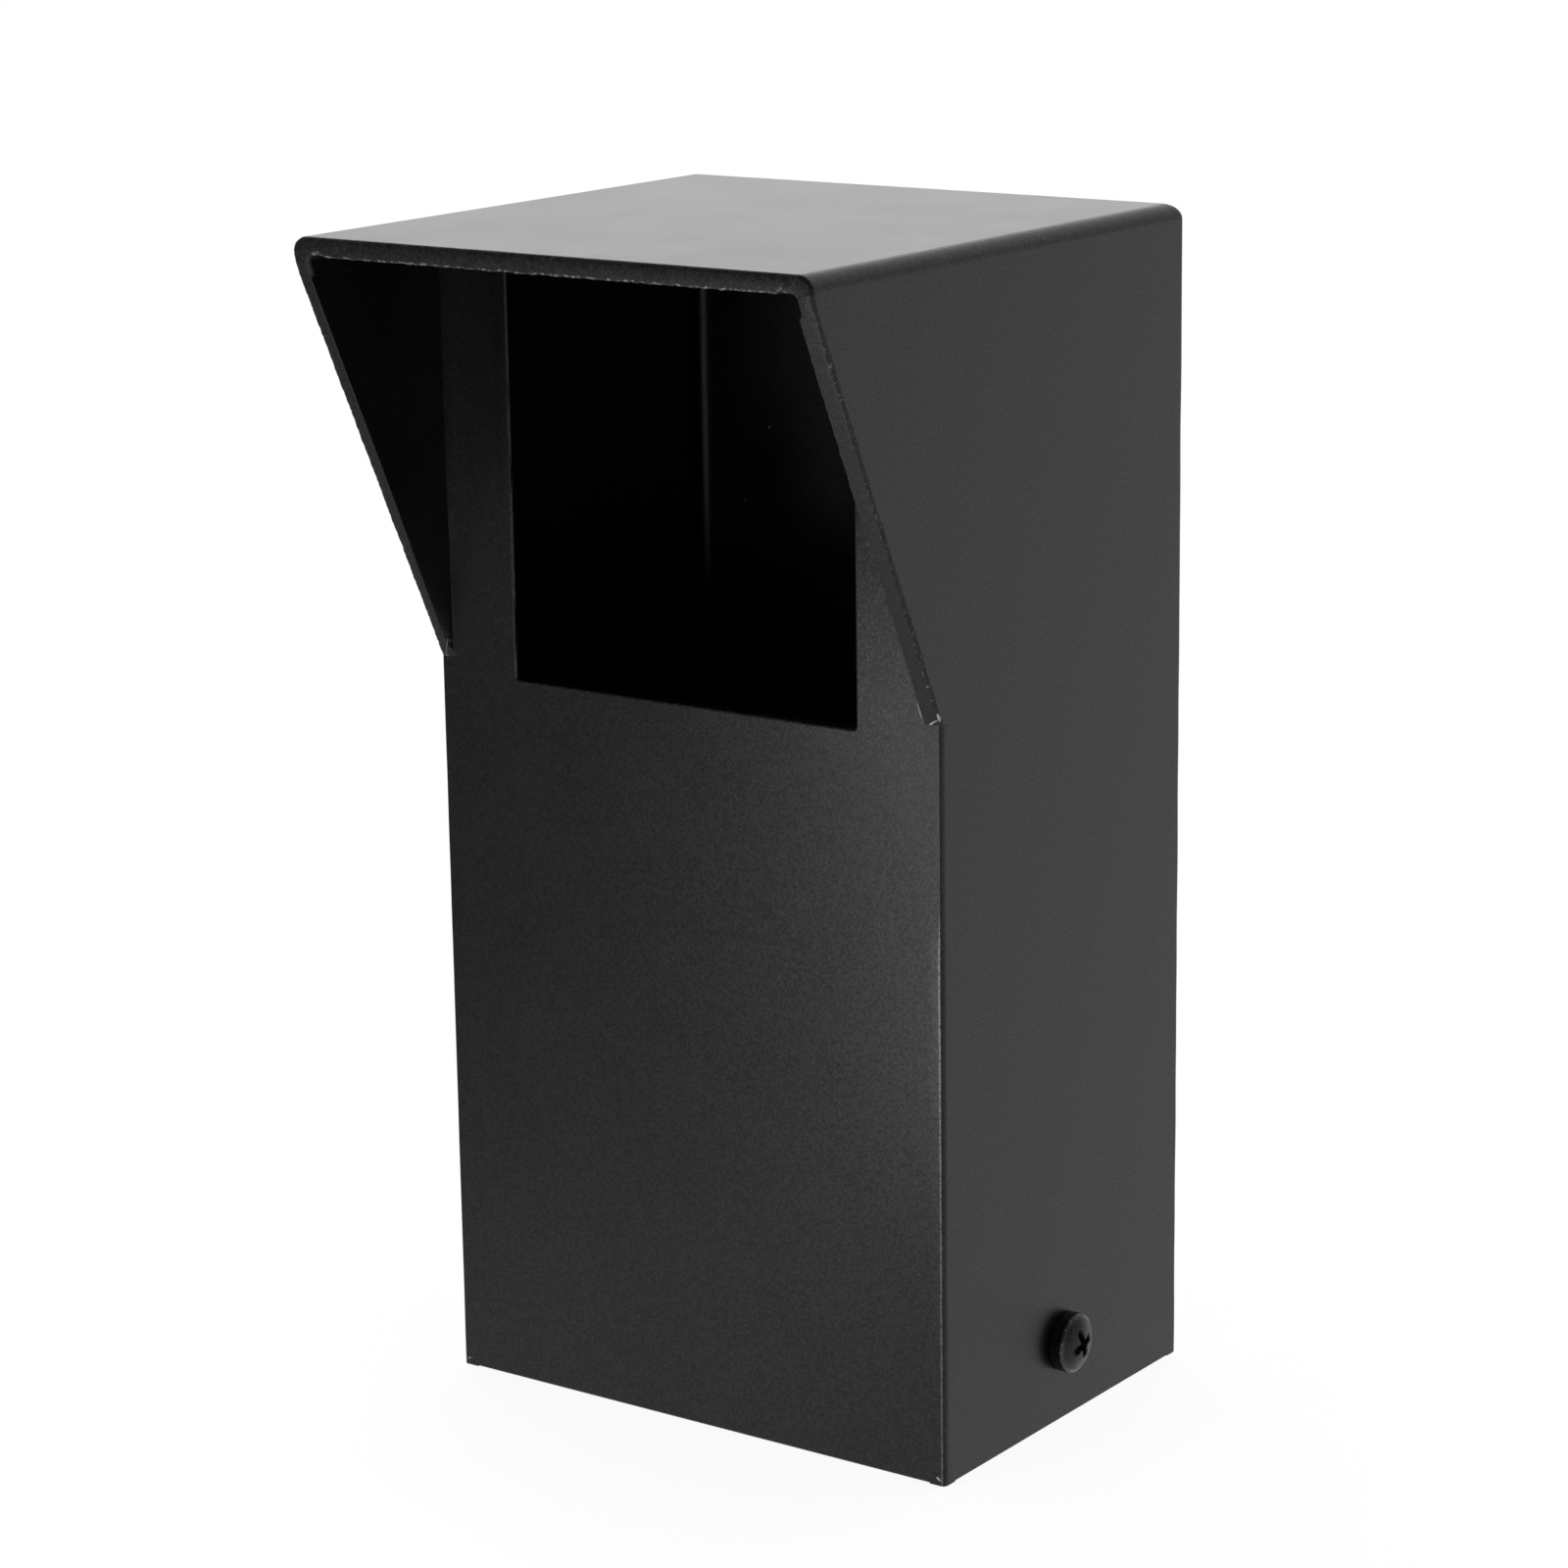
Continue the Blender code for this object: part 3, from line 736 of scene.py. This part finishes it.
# Welds

def bead_rings(path, sides=8):
    """Rings of a small tapered bead along (place, radius) points."""
    rings = []
    for i, (place, radius) in enumerate(path):
        before = path[max(i - 1, 0)][0]
        after = path[min(i + 1, len(path) - 1)][0]
        along = (after - before).normalized()
        across = along.cross(Vector((0.0, 1.0, 0.0))).normalized()
        lift = along.cross(across)
        ring = []
        for k in range(sides):
            angle = 2.0 * math.pi * k / sides
            ring.append(place + (across * math.cos(angle) + lift * math.sin(angle)) * radius)
        rings.append(ring)
    return rings


def front_corner_ring(side, z, facet):
    """Weld section of a ground front corner: a narrow facet on the front, then a long curve into the side."""
    wobble = 1.0 + uneven(3.0 * side, z, 0.011, 0.12)
    reach_x = CORNER_ROUND_X * wobble
    reach_y = CORNER_ROUND_Y * wobble
    drop = facet * math.tan(FACET_TILT)
    points = [(INSIDE_X, FRONT_INSIDE_Y), (HALF_WIDTH, FRONT_INSIDE_Y)]
    for angle in (90.0, 75.0, 60.0, 47.0, 36.0, 26.0, 18.0, 11.0, 5.0, 0.0):
        turn = math.radians(angle)
        x = HALF_WIDTH - reach_x * (1.0 - math.sin(turn))
        y = FRONT_Y + reach_y - (reach_y - drop) * math.cos(turn)
        points.append((x, y))
    points.append((HALF_WIDTH - reach_x - facet, FRONT_Y))
    points.append((INSIDE_X, FRONT_Y))
    return [Vector((side * x, y, z)) for x, y in points]


def make_front_corner_weld(side, label):
    """Open corner weld below the cheek, ground by hand, with the bead's end left at the cheek's foot."""
    rings = []
    for z in [0.0] + evenly(0.0, FOOT_Z - GAP - WELD_CLEARANCE, CORNER_RINGS):
        facet = FACETS[label] * (1.0 - 0.9 * ease(FACET_FADE_FROM, FACET_FADE_TO, z))
        facet *= 1.0 + uneven(19.0 * side, z, 0.003, 0.25)
        rings.append(front_corner_ring(side, z, facet))
    rings.append([Vector((p.x, p.y, FOOT_Z - GAP * (p.y - FRONT_Y) / SHEET)) for p in rings[-1]])
    facet_strip = len(rings[0]) - 3
    # The beads take a near-white colour on the right and grey on the left: painted highlights on bare weld
    # metal
    bead = BEAD_PAINTED_HIGHLIGHT if side > 0 else BEAD_PAINTED_DIM_HIGHLIGHT
    materials = [WELD, bead, CORNER_PAINTED_HIGHLIGHT]

    def tag(k, i):
        # The right corner's facet takes the lighter corner coat: a painted highlight line with some wear
        rubbed = side > 0 and i == facet_strip
        return materials.index(CORNER_PAINTED_HIGHLIGHT if rubbed else WELD)

    work = bmesh.new()
    loft_into(work, rings, tag)
    for path in foot_beads(side):
        loft_into(work, bead_rings(path), material=materials.index(bead))
    weld = new_object(f"front_{label}_corner_weld_visual", work)
    dress(weld, "hood", "coated_weld", materials, f"front_{label}_corner_weld")


def foot_beads(side):
    """Paths of the weld metal left at the cheek's foot and at the bottom of the corner."""
    fine, wide = 0.00008, 0.00020

    def spot(inset, up, proud=0.0):
        z = FOOT_Z + up
        return Vector((side * (HALF_WIDTH - inset), rim_y(z) - proud, z))

    low = [(Vector((side * (HALF_WIDTH - 0.0016), FRONT_Y, 0.0014)), fine),
           (Vector((side * (HALF_WIDTH - 0.0012), FRONT_Y, 0.0012)), wide),
           (Vector((side * (HALF_WIDTH - 0.0008), FRONT_Y, 0.0009)), fine)]
    if side > 0:
        foot = [(spot(0.0021, 0.0001), fine), (spot(0.0016, 0.0003), 0.00019),
                (spot(0.0010, 0.0007), 0.00011), (spot(0.0004, 0.0010), fine)]
        tail = [(spot(0.0001, 0.0008, -0.0002), fine), (spot(0.0001, 0.0013, -0.0003), 0.00024),
                (spot(0.0002, 0.0020, -0.0003), 0.00016), (spot(0.0004, 0.0032, -0.0003), 0.00008),
                (spot(0.0004, 0.0042, -0.0003), 0.00006)]
        inner = [(spot(0.0032, 0.0011), 0.00006), (spot(0.0032, 0.0016), 0.00010),
                 (spot(0.0032, 0.0026), 0.00009), (spot(0.0032, 0.0036), 0.00006)]
        return [foot, tail, inner, low]
    foot = [(spot(0.0004, 0.0001), fine), (spot(0.0008, 0.0001), 0.00011),
            (spot(0.0013, 0.0), 0.00011), (spot(0.0017, 0.0001), fine)]
    ridge = [(spot(0.0012, 0.0003), 0.00005), (spot(0.0016, 0.0012), 0.00006),
             (spot(0.0021, 0.0022), 0.00006), (spot(0.0026, 0.0032), 0.00005)]
    return [foot, ridge, low]


def cheek_weld_ring(side, z, depth, width, root):
    """Long hollow section that runs out across the front plate, with a steep bead next to the cheek."""
    back = FRONT_Y + CHEEK_WELD_BACK

    def long_run(share):
        return depth * max(1.0 - share, 0.0) ** CHEEK_WELD_HOLLOW

    near, meet = 0.004, CHEEK_WELD_ROOT_WIDTH / width
    for _ in range(30):
        middle = (near + meet) / 2
        if root * (1.0 - width * middle / CHEEK_WELD_ROOT_WIDTH) > long_run(middle):
            near = middle
        else:
            meet = middle
    top = max(root, depth)
    points = [(INSIDE_X, back)]
    for step in range(3):
        height = between(top, long_run(meet), step / 3)
        points.append((INSIDE_X - width * meet * step / 3, FRONT_Y - height))
    for share in [meet] + evenly(meet, 1.0, 14):
        points.append((INSIDE_X - width * share, FRONT_Y + CHEEK_WELD_SINK * share - long_run(share)))
    points.append((INSIDE_X - width, back))
    return [Vector((side * x, y, z)) for x, y in points]


def make_cheek_weld(side, label):
    """Dressed weld up the inside corner of a cheek, running out to nothing at the cheek's foot."""
    low = FOOT_Z + CHEEK_WELD_FOOT
    rings = []
    for z in [low] + evenly(low, CEILING_Z - WELD_CLEARANCE, CHEEK_RINGS):
        room = max(FRONT_Y - rim_y(z), 0.00005)
        rise = ease(FOOT_Z + CHEEK_WELD_RISE_FROM, FOOT_Z + CHEEK_WELD_RISE_TO, z)
        depth = CHEEK_WELD_DEPTHS[label] * rise
        depth = min(depth * (1.0 + uneven(5.0 * side, z, 0.0042, 0.06)), 0.95 * room)
        width = CHEEK_WELD_WIDTHS[label] * (1.0 + uneven(7.0 * side, z, 0.009, 0.06))
        root = min(CHEEK_WELD_ROOTS[label], 0.95 * room)
        rings.append(cheek_weld_ring(side, z, depth, width, root))
    weld = loft(f"front_{label}_cheek_weld_visual", rings)
    # The right cheek weld takes the front plate's coat with its painted glints
    dress(weld, "hood", "coated_weld", [WELD if side < 0 else PANEL], f"front_{label}_cheek_weld",
          sharp=CHEEK_WELD_SHARP)


def rear_corner_ring(side, z, radius):
    """Weld section of a rear corner, drawn in at the top by the bend and the roof's rounded rear edge."""
    over_bend = max(z - (TOP_Z - BEND_OUTER), 0.0)
    over_rear = max(z - (TOP_Z - REAR_TOP_ROUND), 0.0)
    outer_x = HALF_WIDTH - BEND_OUTER + math.sqrt(max(BEND_OUTER ** 2 - over_bend ** 2, 0.0))
    outer_y = REAR_Y - REAR_TOP_ROUND + math.sqrt(max(REAR_TOP_ROUND ** 2 - over_rear ** 2, 0.0))
    soft = min(radius, 0.8 * (outer_x - INSIDE_X), 0.8 * (outer_y - REAR_INSIDE_Y))
    points = [(INSIDE_X, REAR_INSIDE_Y), (outer_x, REAR_INSIDE_Y)]
    points += arc_points((outer_x - soft, outer_y - soft), soft, 0.0, 90.0, 8)
    points += [(INSIDE_X, outer_y)]
    return [Vector((side * x, y, z)) for x, y in points]


def root_ring(side, z, radius):
    """Hollow fillet in the inside corner of the rear plate and a side."""
    points = [(INSIDE_X, REAR_INSIDE_Y)]
    centre = (INSIDE_X - radius, REAR_INSIDE_Y - radius)
    points += arc_points(centre, radius, 0.0, 90.0, 6)
    return [Vector((side * x, y, z)) for x, y in points]


def make_rear_corner_weld(side, label):
    """Outside corner weld at the back, with the root that shows inside."""
    top = TOP_Z - REAR_TOP_ROUND
    heights = [0.0] + evenly(0.0, top, REAR_RINGS)
    heights += [top + REAR_TOP_ROUND * math.sin(math.radians(angle)) for angle in evenly(0.0, 90.0, 10)]
    outer = []
    for z in heights:
        radius = REAR_CORNER_ROUND + uneven(11.0 * side, z, 0.012, 0.00018)
        outer.append(rear_corner_ring(side, z, radius))
    low = BRACKET_LOW.z + 2.5 * SHEET
    root = []
    for z in [low] + evenly(low, CEILING_Z - BEND_INNER, REAR_RINGS):
        radius = ROOT_FILLET + uneven(13.0 * side, z, 0.006, 0.0002)
        root.append(root_ring(side, z, radius))
    weld = loft(f"rear_{label}_corner_weld_visual", outer, root)
    dress(weld, "hood", "coated_weld", [WELD], f"rear_{label}_corner_weld")


def make_rear_top_weld():
    """Corner weld along the back of the roof."""
    rings = []
    for x in [-INSIDE_X] + evenly(-INSIDE_X, INSIDE_X, REAR_TOP_RINGS):
        even = ease(REAR_TOP_EVEN_FROM, REAR_TOP_EVEN_TO, abs(x))
        radius = REAR_TOP_ROUND + uneven(17.0, x, 0.012, 0.00018) * (1.0 - even)
        centre = (REAR_Y - radius, TOP_Z - radius)
        section = [(REAR_INSIDE_Y, CEILING_Z), (REAR_Y, CEILING_Z)]
        section += arc_points(centre, radius, 0.0, 90.0, 10) + [(REAR_INSIDE_Y, TOP_Z)]
        rings.append([Vector((x, y, z)) for y, z in section])
    weld = loft("rear_top_weld_visual", rings)
    dress(weld, "hood", "coated_weld", [WELD], "rear_top_weld")


# Fasteners

def ring_about_x(x, radius, count):
    """A circle round the screw axis, at a place along X."""
    points = []
    for i in range(count):
        angle = 2.0 * math.pi * i / count
        points.append(Vector((x, radius * math.cos(angle), SCREW_Z + radius * math.sin(angle))))
    return points


def make_recess(outer_x):
    """Cross recess cutter: four tapered wings and a pointed middle."""
    work = bmesh.new()
    for turn in (0.0, 90.0):
        angle = RECESS_TURN + math.radians(turn)
        along = Vector((0.0, math.cos(angle), math.sin(angle)))
        across = Vector((0.0, -math.sin(angle), math.cos(angle)))
        rings = []
        for depth, reach, half in RECESS_SECTIONS:
            centre = Vector((outer_x - depth, 0.0, SCREW_Z))
            corners = ((reach, half), (-reach, half), (-reach, -half), (reach, -half))
            rings.append([centre + along * a + across * c for a, c in corners])
        loft_into(work, rings)
    return new_object("recess", work)


def head_profile(seat, crown, radius):
    """Pan head as (x, radius): an upright rim with a soft edge and a low dome."""
    edge_centre = (radius - HEAD_EDGE, seat + HEAD_RIM - HEAD_EDGE)
    profile = [(seat, radius - 0.00025), (seat + 0.0002, radius)]
    profile += [(x, r) for r, x in arc_points(edge_centre, HEAD_EDGE, 0.0, 60.0, 4)]
    start_x, start_r = profile[-1]
    rise = crown - start_x
    ball = (start_r ** 2 + rise ** 2) / (2.0 * rise)
    for share in evenly(0.0, 0.97, 10):
        r = start_r * (1.0 - share)
        profile.append((crown - ball + math.sqrt(ball ** 2 - r ** 2), r))
    return profile


def make_screw(side, label):
    """Pan-head screw with a domed head, a cross recess and a threaded shank."""
    low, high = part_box(f"{label}_screw")
    tip = low.x if side > 0 else -high.x
    crown = high.x if side > 0 else -low.x
    seat = HALF_WIDTH
    point = 0.0006
    root = SHANK_RADIUS * THREAD_ROOT
    profile = [(tip, SHANK_RADIUS * 0.72), (tip + point, SHANK_RADIUS * 0.98)]
    place = tip + point
    while place + THREAD_PITCH < INSIDE_X - point:
        profile += [(place + 0.15 * THREAD_PITCH, SHANK_RADIUS), (place + 0.35 * THREAD_PITCH, SHANK_RADIUS)]
        profile += [(place + 0.7 * THREAD_PITCH, root), (place + 0.85 * THREAD_PITCH, root)]
        place += THREAD_PITCH
    profile += [(seat, SHANK_RADIUS)] + head_profile(seat, crown, (high.z - low.z) / 2)
    screw = loft(f"{label}_screw_visual", [ring_about_x(x, radius, SCREW_STEPS) for x, radius in profile])
    boolean(screw, make_recess(crown), "DIFFERENCE", self_crossing=True)
    if side < 0:
        screw.data.transform(Matrix.Scale(-1.0, 4, Vector((1.0, 0.0, 0.0))))
        screw.data.flip_normals()
    materials = [SCREW, SCREW_EDGE]

    def from_axis(place):
        return (place.yz - Vector((0.0, SCREW_Z))).length

    def recess_edge(middle):
        return abs(middle.x) > seat + RECESS_FROM_SEAT and from_axis(middle) < RECESS_WITHIN

    for face in screw.data.polygons:
        worn = from_axis(face.center) > WORN_FROM_AXIS and abs(face.center.x) > seat + WORN_FROM_SEAT
        face.material_index = materials.index(SCREW_EDGE if worn else SCREW)
    round_edges(screw, RECESS_EDGE_ROUND, 2, recess_edge)
    dress(screw, f"{label}_screw", "screw_black", materials, f"{label}_screw")


def turned_ring(name, section_at, count):
    """A closed ring whose section of (x, radius) may change with the angle round the screw axis."""
    work = bmesh.new()
    loops = []
    for i in range(count):
        angle = 2.0 * math.pi * i / count
        around = Vector((0.0, math.cos(angle), math.sin(angle)))
        loops.append([work.verts.new(Vector((x, 0.0, SCREW_Z)) + around * r) for x, r in section_at(angle)])
    for i in range(count):
        here, there = loops[i], loops[(i + 1) % count]
        for a in range(len(here)):
            b = (a + 1) % len(here)
            work.faces.new((here[a], here[b], there[b], there[a]))
    return new_object(name, work)


def make_washer(label):
    """Plain washer with softened rims."""
    low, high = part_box(f"{label}_washer")
    outer = (high.z - low.z) / 2
    bore = WASHER_BORE
    soft = 0.0001
    section = [(low.x, bore + soft), (low.x, outer - soft), (low.x + soft, outer), (high.x - soft, outer)]
    section += [(high.x, outer - soft), (high.x, bore + soft), (high.x - soft, bore), (low.x + soft, bore)]
    washer = turned_ring(f"{label}_washer_visual", lambda angle: section, SCREW_STEPS)
    dress(washer, "hood", "zinc", [ZINC], f"{label}_washer")


def make_nut(label):
    """Hex nut with a flat on top: the corners are turned down to a cone at both ends."""
    low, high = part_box(f"{label}_nut")
    flat = (high.z - low.z) / 2
    face = NUT_FACE * flat
    bore = NUT_BORE
    soft = 0.0003

    def section_at(angle):
        offset = angle % (math.pi / 3) - math.pi / 6
        hexagon = flat / math.cos(offset)
        drop = NUT_CHAMFER + max(hexagon - NUT_CONE_FROM * flat, 0.0) * NUT_CONE_SLOPE
        section = [(low.x, bore + soft), (low.x, face), (low.x + drop, hexagon), (high.x - drop, hexagon)]
        return section + [(high.x, face), (high.x, bore + soft), (high.x - soft, bore), (low.x + soft, bore)]

    nut = turned_ring(f"{label}_nut_visual", section_at, NUT_STEPS)
    dress(nut, "hood", "zinc", [ZINC], f"{label}_nut")


def make_bracket():
    """Floor plate with two upturned ears."""
    bracket = clean_copy("base_bracket", "bracket")
    round_edges(bracket, BRACKET_EDGE_ROUND, 2, lambda middle: True)
    dress(bracket, "base", "bracket_coat", [BRACKET, BRACKET_EDGE], "base_bracket")


# Floor, light and camera

def make_floor():
    """Wide pale floor: a glow makes it white and keeps the object's shadow; its reflection fades in front."""
    work = bmesh.new()
    bmesh.ops.create_grid(work, x_segments=1, y_segments=1, size=8.0)
    floor = new_object("floor", work)
    floor.location.z = -FLOOR_DROP
    paper = Finish("floor_paper")
    tree = paper.tree
    tree.nodes.remove(paper.shader)
    diffuse = paper.add("ShaderNodeBsdfDiffuse")
    diffuse.inputs["Color"].default_value = (*FLOOR_TONE, 1.0)
    ahead = paper.add("ShaderNodeVectorMath", operation="DOT_PRODUCT")
    ahead.inputs[1].default_value = FLOOR_FADE_AXIS
    paper.join(paper.place, ahead.inputs[0])
    fade = paper.spread(ahead.outputs["Value"], *FLOOR_FADE, FLOOR_MIRROR, FLOOR_MIRROR_FAR)
    rays = paper.add("ShaderNodeLightPath").outputs
    mirrored = paper.math("MAXIMUM", rays["Is Glossy Ray"], rays["Is Transmission Ray"])
    seen = paper.math("MULTIPLY", rays["Is Camera Ray"], FLOOR_GLOW)
    glow = paper.add("ShaderNodeEmission")
    paper.join(paper.math("MAXIMUM", seen, paper.math("MULTIPLY", mirrored, fade)), glow.inputs["Strength"])
    both = paper.add("ShaderNodeAddShader")
    paper.join(diffuse.outputs["BSDF"], both.inputs[0])
    paper.join(glow.outputs["Emission"], both.inputs[1])
    paper.join(both.outputs["Shader"], tree.nodes["Material Output"].inputs["Surface"])
    floor.data.materials.append(paper.material)


def make_world():
    """Soft studio surround, brightest behind the object and dim in front of it; the camera sees white."""
    world = bpy.data.worlds.new("studio")
    bpy.context.scene.world = world
    world.use_nodes = True
    tree = world.node_tree
    background = tree.nodes["Background"]
    background.inputs["Color"].default_value = (1.0, 1.0, 1.0, 1.0)
    place = tree.nodes.new("ShaderNodeTexCoord")
    total = None
    for axis, gain, power in WORLD_LOBES:
        toward = tree.nodes.new("ShaderNodeVectorMath")
        toward.operation = "DOT_PRODUCT"
        toward.inputs[1].default_value = axis
        share = tree.nodes.new("ShaderNodeMapRange")
        share.inputs["From Min"].default_value = WORLD_BACK
        share.inputs["From Max"].default_value = 1.0
        steep = tree.nodes.new("ShaderNodeMath")
        steep.operation = "POWER"
        steep.inputs[1].default_value = power
        level = tree.nodes.new("ShaderNodeMath")
        level.operation = "MULTIPLY_ADD"
        level.inputs[1].default_value = gain
        level.inputs[2].default_value = WORLD_BASE
        tree.links.new(place.outputs["Generated"], toward.inputs[0])
        tree.links.new(toward.outputs["Value"], share.inputs["Value"])
        tree.links.new(share.outputs["Result"], steep.inputs[0])
        tree.links.new(steep.outputs["Value"], level.inputs[0])
        if total:
            tree.links.new(total, level.inputs[2])
        total = level.outputs["Value"]
    rays = tree.nodes.new("ShaderNodeLightPath")
    shown = tree.nodes.new("ShaderNodeMath")
    shown.operation = "MAXIMUM"
    tree.links.new(total, shown.inputs[0])
    tree.links.new(rays.outputs["Is Camera Ray"], shown.inputs[1])
    tree.links.new(shown.outputs["Value"], background.inputs["Strength"])


def make_lights():
    """Two small soft boxes in front, which give the front plate its glow on the right."""
    for name, place, target, radiance in SOFT_BOXES:
        light = bpy.data.lights.new(name, "AREA")
        light.shape = "RECTANGLE"
        light.size = SOFT_BOX_SIZE
        light.size_y = SOFT_BOX_SIZE
        light.energy = radiance * math.pi * SOFT_BOX_SIZE ** 2
        obj = bpy.data.objects.new(name, light)
        obj.location = place
        obj.rotation_euler = (Vector(target) - Vector(place)).to_track_quat("-Z", "Y").to_euler()
        bpy.context.scene.collection.objects.link(obj)


def make_camera():
    """The photograph's view, solved from the object's straight edges and its outline."""
    yaw, pitch, roll = CAMERA_YAW, CAMERA_PITCH, CAMERA_ROLL
    ahead = Vector((-math.sin(yaw) * math.cos(pitch), math.cos(yaw) * math.cos(pitch), -math.sin(pitch)))
    level = Vector((math.cos(yaw), math.sin(yaw), 0.0))
    upright = level.cross(ahead)
    right = level * math.cos(roll) + upright * math.sin(roll)
    above = upright * math.cos(roll) - level * math.sin(roll)
    data = bpy.data.cameras.new("photo_view")
    data.lens = FOCAL
    data.sensor_width = SENSOR
    data.clip_start = 0.01
    camera = bpy.data.objects.new("photo_view", data)
    turn = Matrix((right, above, -ahead)).transposed()
    camera.matrix_world = Matrix.Translation(CAMERA_AT) @ turn.to_4x4()
    bpy.context.scene.collection.objects.link(camera)
    bpy.context.scene.camera = camera


def main():
    make_shell()
    make_front_panel()
    make_rear_panel()
    for side, label in ((-1, "left"), (1, "right")):
        make_front_corner_weld(side, label)
        make_cheek_weld(side, label)
        make_rear_corner_weld(side, label)
        make_screw(side, label)
        make_washer(label)
        make_nut(label)
    make_rear_top_weld()
    make_bracket()
    make_floor()
    make_world()
    make_lights()
    make_camera()
    bpy.context.scene.view_settings.view_transform = "Standard"


main()
